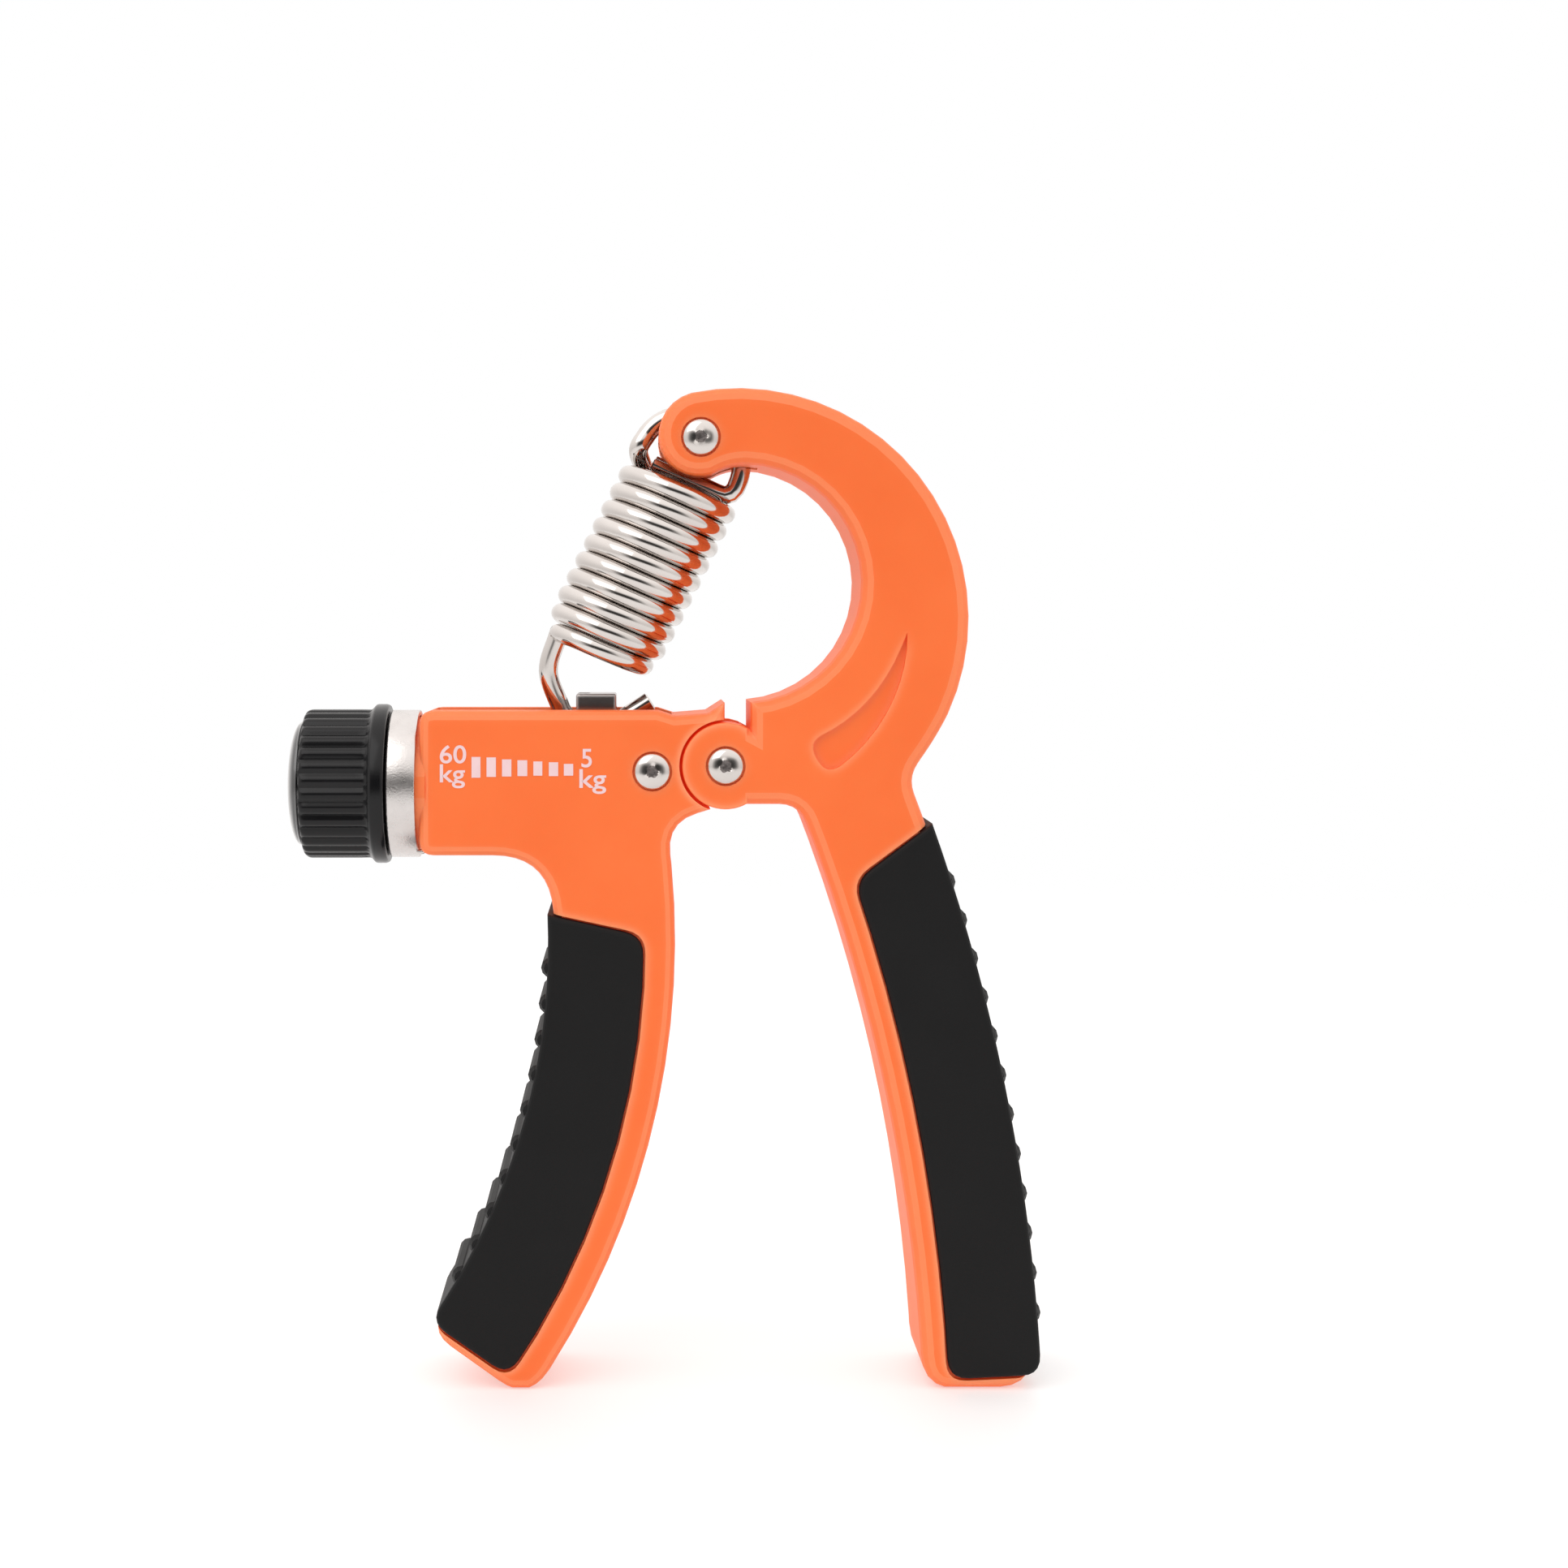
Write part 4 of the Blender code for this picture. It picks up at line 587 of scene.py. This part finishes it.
wire = bar[::-1] + loop[::-1] + above[::-1] + coil + below + bowl + tail
spring = new_piece("spring_wire", wire_mesh("spring_wire", wire, WIRE_RADIUS, WIRE_SIDES), nickel, None)
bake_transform(spring)
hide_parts("spring_coil", "spring_lower_hook")

# Knob: black moulded plastic with 32 round flutes and a plain flange, hollow inside, with a glossy
# domed cap pressed into its end over the fixing screw. Profiles are in millimetres.
KNOB_LEFT, CAP_LEFT = -55.1 * MM, -55.4 * MM
SCREW_Z = 90.3 * MM
FLUTES, FLUTE_DEPTH, FLUTE_STEPS = 32, 0.42 * MM, 8
FLUTES_END, FLUTE_FADE, OUTER_WALL = 10.3 * MM, 0.5 * MM, 10.0 * MM
CAP_RISE, CAP_RADIUS, CAP_STEPS, CAP_SIDES = 1.9, 9.45, 14, 96
knob_plastic = finish_of(
    "knob_plastic",
    (0.004, 0.004, 0.0045),
    (0.007, 0.007, 0.008),
    (0.18, 0.28),
    (4000.0, 100.0, 0.06),
    IOR=1.35,
)[0]
knob_profile = [
    (11.8, 2.2), (11.8, 6.8), (12.9, 6.8), (12.9, 11.75), (12.82, 11.98), (12.62, 12.12), (12.3, 12.2),
    (11.1, 12.2), (10.85, 12.13), (10.65, 11.95), (10.45, 11.7), (10.2, 11.48), (9.9, 11.38), (9.5, 11.38),
    (8.5, 11.4), (5.0, 11.4), (1.6, 11.4), (0.9, 11.4), (0.55, 11.33),
    (0.25, 11.15), (0.06, 10.9), (0.0, 10.6), (0.0, 8.8), (8.2, 8.8), (8.2, 4.6), (5.8, 4.6), (5.8, 2.2),
]


def turned_about_screw(name, profile, left, steps):
    """A mesh turned about the load screw's axis from a profile in millimetres."""
    return turned_mesh(name, [(x * MM, r * MM) for x, r in profile], "X", (left, 0.0, SCREW_Z), steps)


mesh = turned_about_screw("knob_fluted", knob_profile, KNOB_LEFT, FLUTES * FLUTE_STEPS)
for vertex in mesh.vertices:
    x, y, z = vertex.co.x - KNOB_LEFT, vertex.co.y, vertex.co.z - SCREW_Z
    reach = math.hypot(y, z)
    if 0.0 < x < FLUTES_END and reach > OUTER_WALL:
        wave = math.sin(math.atan2(z, y) * FLUTES / 2) ** 2
        fall = min(1.0, x / FLUTE_FADE, (FLUTES_END - x) / FLUTE_FADE)
        share = 1.0 - FLUTE_DEPTH * (1.0 - wave) ** 2 * fall / reach
        vertex.co.y, vertex.co.z = y * share, SCREW_Z + z * share
knob = new_piece("knob_fluted", mesh, knob_plastic, "knob")
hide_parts("knob_body")

cap_plastic = finish_of(
    "cap_plastic",
    (0.008, 0.008, 0.009),
    (0.014, 0.014, 0.016),
    (0.12, 0.2),
    (4000.0, 100.0, 0.03),
    IOR=1.75,
    Coat_Weight=1.0,
    Coat_Roughness=0.12,
)[0]
cap_profile = []
for i in range(CAP_STEPS + 1):
    turn = math.pi / 2 * i / CAP_STEPS
    cap_profile.append((-0.35 - CAP_RISE * math.cos(turn), CAP_RADIUS * math.sin(turn)))
cap_profile += [
    (-0.25, 9.56), (-0.1, 9.6), (0.0, 9.55), (0.0, 8.6), (2.2, 8.6), (2.2, 7.2), (0.0, 7.2), (0.0, 0.0),
]
mesh = turned_about_screw("knob_cap", cap_profile, CAP_LEFT, CAP_SIDES)
cap = new_piece("knob_cap", mesh, cap_plastic, "knob")
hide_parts("knob_end_cap")

# Collar: a pressed cup of satin nickel-plated steel on the arm's end, with a rounded bottom edge, and
# one small tab bent from its rim over the arm.
COLLAR_LEFT, COLLAR_SIDES = -42.0 * MM, 128
TAB_RADIUS, TAB_SIDES = 0.4 * MM, 12
TAB_PATH = ((-37.7, -5.35, 80.25), (-37.1, -5.4, 80.25), (-36.7, -5.4, 80.3), (-36.45, -5.4, 80.45))
satin = metal("satin_nickel", (0.55, 0.525, 0.51), (0.70, 0.67, 0.655), (0.24, 0.32), (4200.0, 500.0, 0.35))
collar_profile = [
    (0.0, 2.6), (0.0, 10.9), (0.06, 11.12), (0.2, 11.25), (0.4, 11.3), (4.25, 11.3), (4.38, 11.24),
    (4.42, 11.1), (4.42, 10.5), (0.8, 10.5), (0.8, 2.6),
]
mesh = turned_about_screw("collar_cup", collar_profile, COLLAR_LEFT, COLLAR_SIDES)
collar = new_piece("collar_cup", mesh, satin, "left_handle")
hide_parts("arm_end_collar")

mesh = wire_mesh("collar_tab", [Vector(point) * MM for point in TAB_PATH], TAB_RADIUS, TAB_SIDES)
tab = new_piece("collar_tab", mesh, nickel, "left_handle")

# Thread of the load screw: one rolled ridge wound round the shank, seen from above in the arm's
# channel. It is zinc plated like the screw and turns with the knob.
THREAD_PITCH, THREAD_RIDGE = 1.1 * MM, 0.39 * MM
THREAD_START, THREAD_END, THREAD_RADIUS = -33.2 * MM, -7.3 * MM, 2.7 * MM


def make_thread_tree():
    """Geometry nodes that wind a ridge of a given size, pitch and number of turns round Z."""
    tree = bpy.data.node_groups.new("screw_thread", "GeometryNodeTree")
    for label in ("Turns", "Pitch", "Radius", "Ridge"):
        tree.interface.new_socket(label, in_out="INPUT", socket_type="NodeSocketFloat")
    tree.interface.new_socket("Finish", in_out="INPUT", socket_type="NodeSocketMaterial")
    tree.interface.new_socket("Thread", in_out="OUTPUT", socket_type="NodeSocketGeometry")
    given, out = tree.nodes.new("NodeGroupInput"), tree.nodes.new("NodeGroupOutput")
    height = worked_out(tree, "MULTIPLY", given.outputs["Turns"], given.outputs["Pitch"])
    spiral = add(tree, "GeometryNodeCurveSpiral")
    feed(tree, spiral, Resolution=36, Rotations=given.outputs["Turns"], Height=height)
    feed(tree, spiral, Start_Radius=given.outputs["Radius"], End_Radius=given.outputs["Radius"])
    ridge = add(tree, "GeometryNodeCurvePrimitiveCircle")
    feed(tree, ridge, Resolution=6, Radius=given.outputs["Ridge"])
    wound = add(tree, "GeometryNodeCurveToMesh")
    feed(tree, wound, Curve=spiral.outputs["Curve"], Profile_Curve=ridge.outputs["Curve"], Fill_Caps=True)
    solid = feed(tree, add(tree, "GeometryNodeRealizeInstances"), Geometry=wound.outputs["Mesh"])
    plated = add(tree, "GeometryNodeSetMaterial")
    feed(tree, plated, Geometry=solid.outputs["Geometry"], Material=given.outputs["Finish"])
    feed(tree, out, Thread=plated.outputs["Geometry"])
    return tree


thread_tree = make_thread_tree()
holder = bpy.data.objects.new("thread_holder", bpy.data.meshes.new("thread_holder"))
scene.collection.objects.link(holder)
winding = holder.modifiers.new("winding", "NODES")
winding.node_group = thread_tree
thread_sizes = {
    "Turns": (THREAD_END - THREAD_START) / THREAD_PITCH,
    "Pitch": THREAD_PITCH,
    "Radius": THREAD_RADIUS,
    "Ridge": THREAD_RIDGE,
    "Finish": zinc,
}
for socket in thread_tree.interface.items_tree:
    if socket.in_out == "INPUT":
        winding[socket.identifier] = thread_sizes[socket.name]
mesh = bpy.data.meshes.new_from_object(holder.evaluated_get(bpy.context.evaluated_depsgraph_get()))
bpy.data.objects.remove(holder)
mesh.transform(Matrix.Translation((THREAD_START, 0.0, SCREW_Z)) @ Matrix.Rotation(math.radians(90.0), 4, "Y"))
thread = new_piece("screw_thread", mesh, zinc, "knob")

# Printed scale: thin pale ink on the front of the arm, from the heaviest setting to the lightest. A
# weight in two lines at each end, and bars that grow shorter between them. Places are the photograph's
# columns and rows.
ORIGIN_COLUMN, FLOOR_ROW, PIXELS_PER_MM = 820.0, 1710.0, 8.2
INK_FACE, INK_THICK = -10.03 * MM, 0.03 * MM
TEXT_WEIGHT = 0.012
BAR_X = ((581.5, 592.5), (600, 611.5), (619, 630.5), (638, 650), (657.5, 668.5), (676.5, 688), (695, 706.5))
BAR_Y = ((932, 957.5), (932.5, 956.5), (935, 956), (936, 955.5), (937.5, 955), (938.5, 955.5), (940.5, 955))
WORDS = (
    ("60", 542.5, 917.5, 575, 940),
    ("kg", 542.5, 941, 573.5, 970.5),
    ("5", 716.6, 922, 729.4, 945),
    ("kg", 714, 947, 747, 977.5),
)
ink = finish_of("pale_ink", (0.80, 0.56, 0.58), (0.90, 0.66, 0.68), (0.45, 0.6), (3000.0, 400.0, 0.1))[0]


def front_place(column, row):
    """The place on the front face that a column and row of the picture show."""
    return ((column - ORIGIN_COLUMN) / PIXELS_PER_MM * MM, (FLOOR_ROW - row) / PIXELS_PER_MM * MM)


shape = bmesh.new()
for (left, right), (top, bottom) in zip(BAR_X, BAR_Y):
    (x0, z1), (x1, z0) = front_place(left, top), front_place(right, bottom)
    bar_shape = bmesh.ops.create_cube(shape, size=1.0)
    bmesh.ops.scale(shape, vec=(x1 - x0, INK_THICK, z1 - z0), verts=bar_shape["verts"])
    bmesh.ops.translate(shape, vec=((x0 + x1) / 2, INK_FACE, (z0 + z1) / 2), verts=bar_shape["verts"])
mesh = bpy.data.meshes.new("scale_bars")
shape.to_mesh(mesh)
shape.free()
bars = new_piece("scale_bars", mesh, ink, "left_handle")

for index, (word, left, top, right, bottom) in enumerate(WORDS):
    text = bpy.data.curves.new("scale_text", "FONT")
    text.body = word
    text.extrude = INK_THICK / 2
    text.offset = TEXT_WEIGHT
    holder = bpy.data.objects.new("scale_text", text)
    scene.collection.objects.link(holder)
    mesh = bpy.data.meshes.new_from_object(holder.evaluated_get(bpy.context.evaluated_depsgraph_get()))
    bpy.data.objects.remove(holder)
    low = [min(v.co[k] for v in mesh.vertices) for k in range(2)]
    high = [max(v.co[k] for v in mesh.vertices) for k in range(2)]
    (x0, z1), (x1, z0) = front_place(left, top), front_place(right, bottom)
    for vertex in mesh.vertices:
        across = x0 + (vertex.co.x - low[0]) / (high[0] - low[0]) * (x1 - x0)
        up = z0 + (vertex.co.y - low[1]) / (high[1] - low[1]) * (z1 - z0)
        vertex.co = (across, INK_FACE - vertex.co.z, up)
    piece = new_piece("scale_text_%d" % (index + 1), mesh, ink, "left_handle")
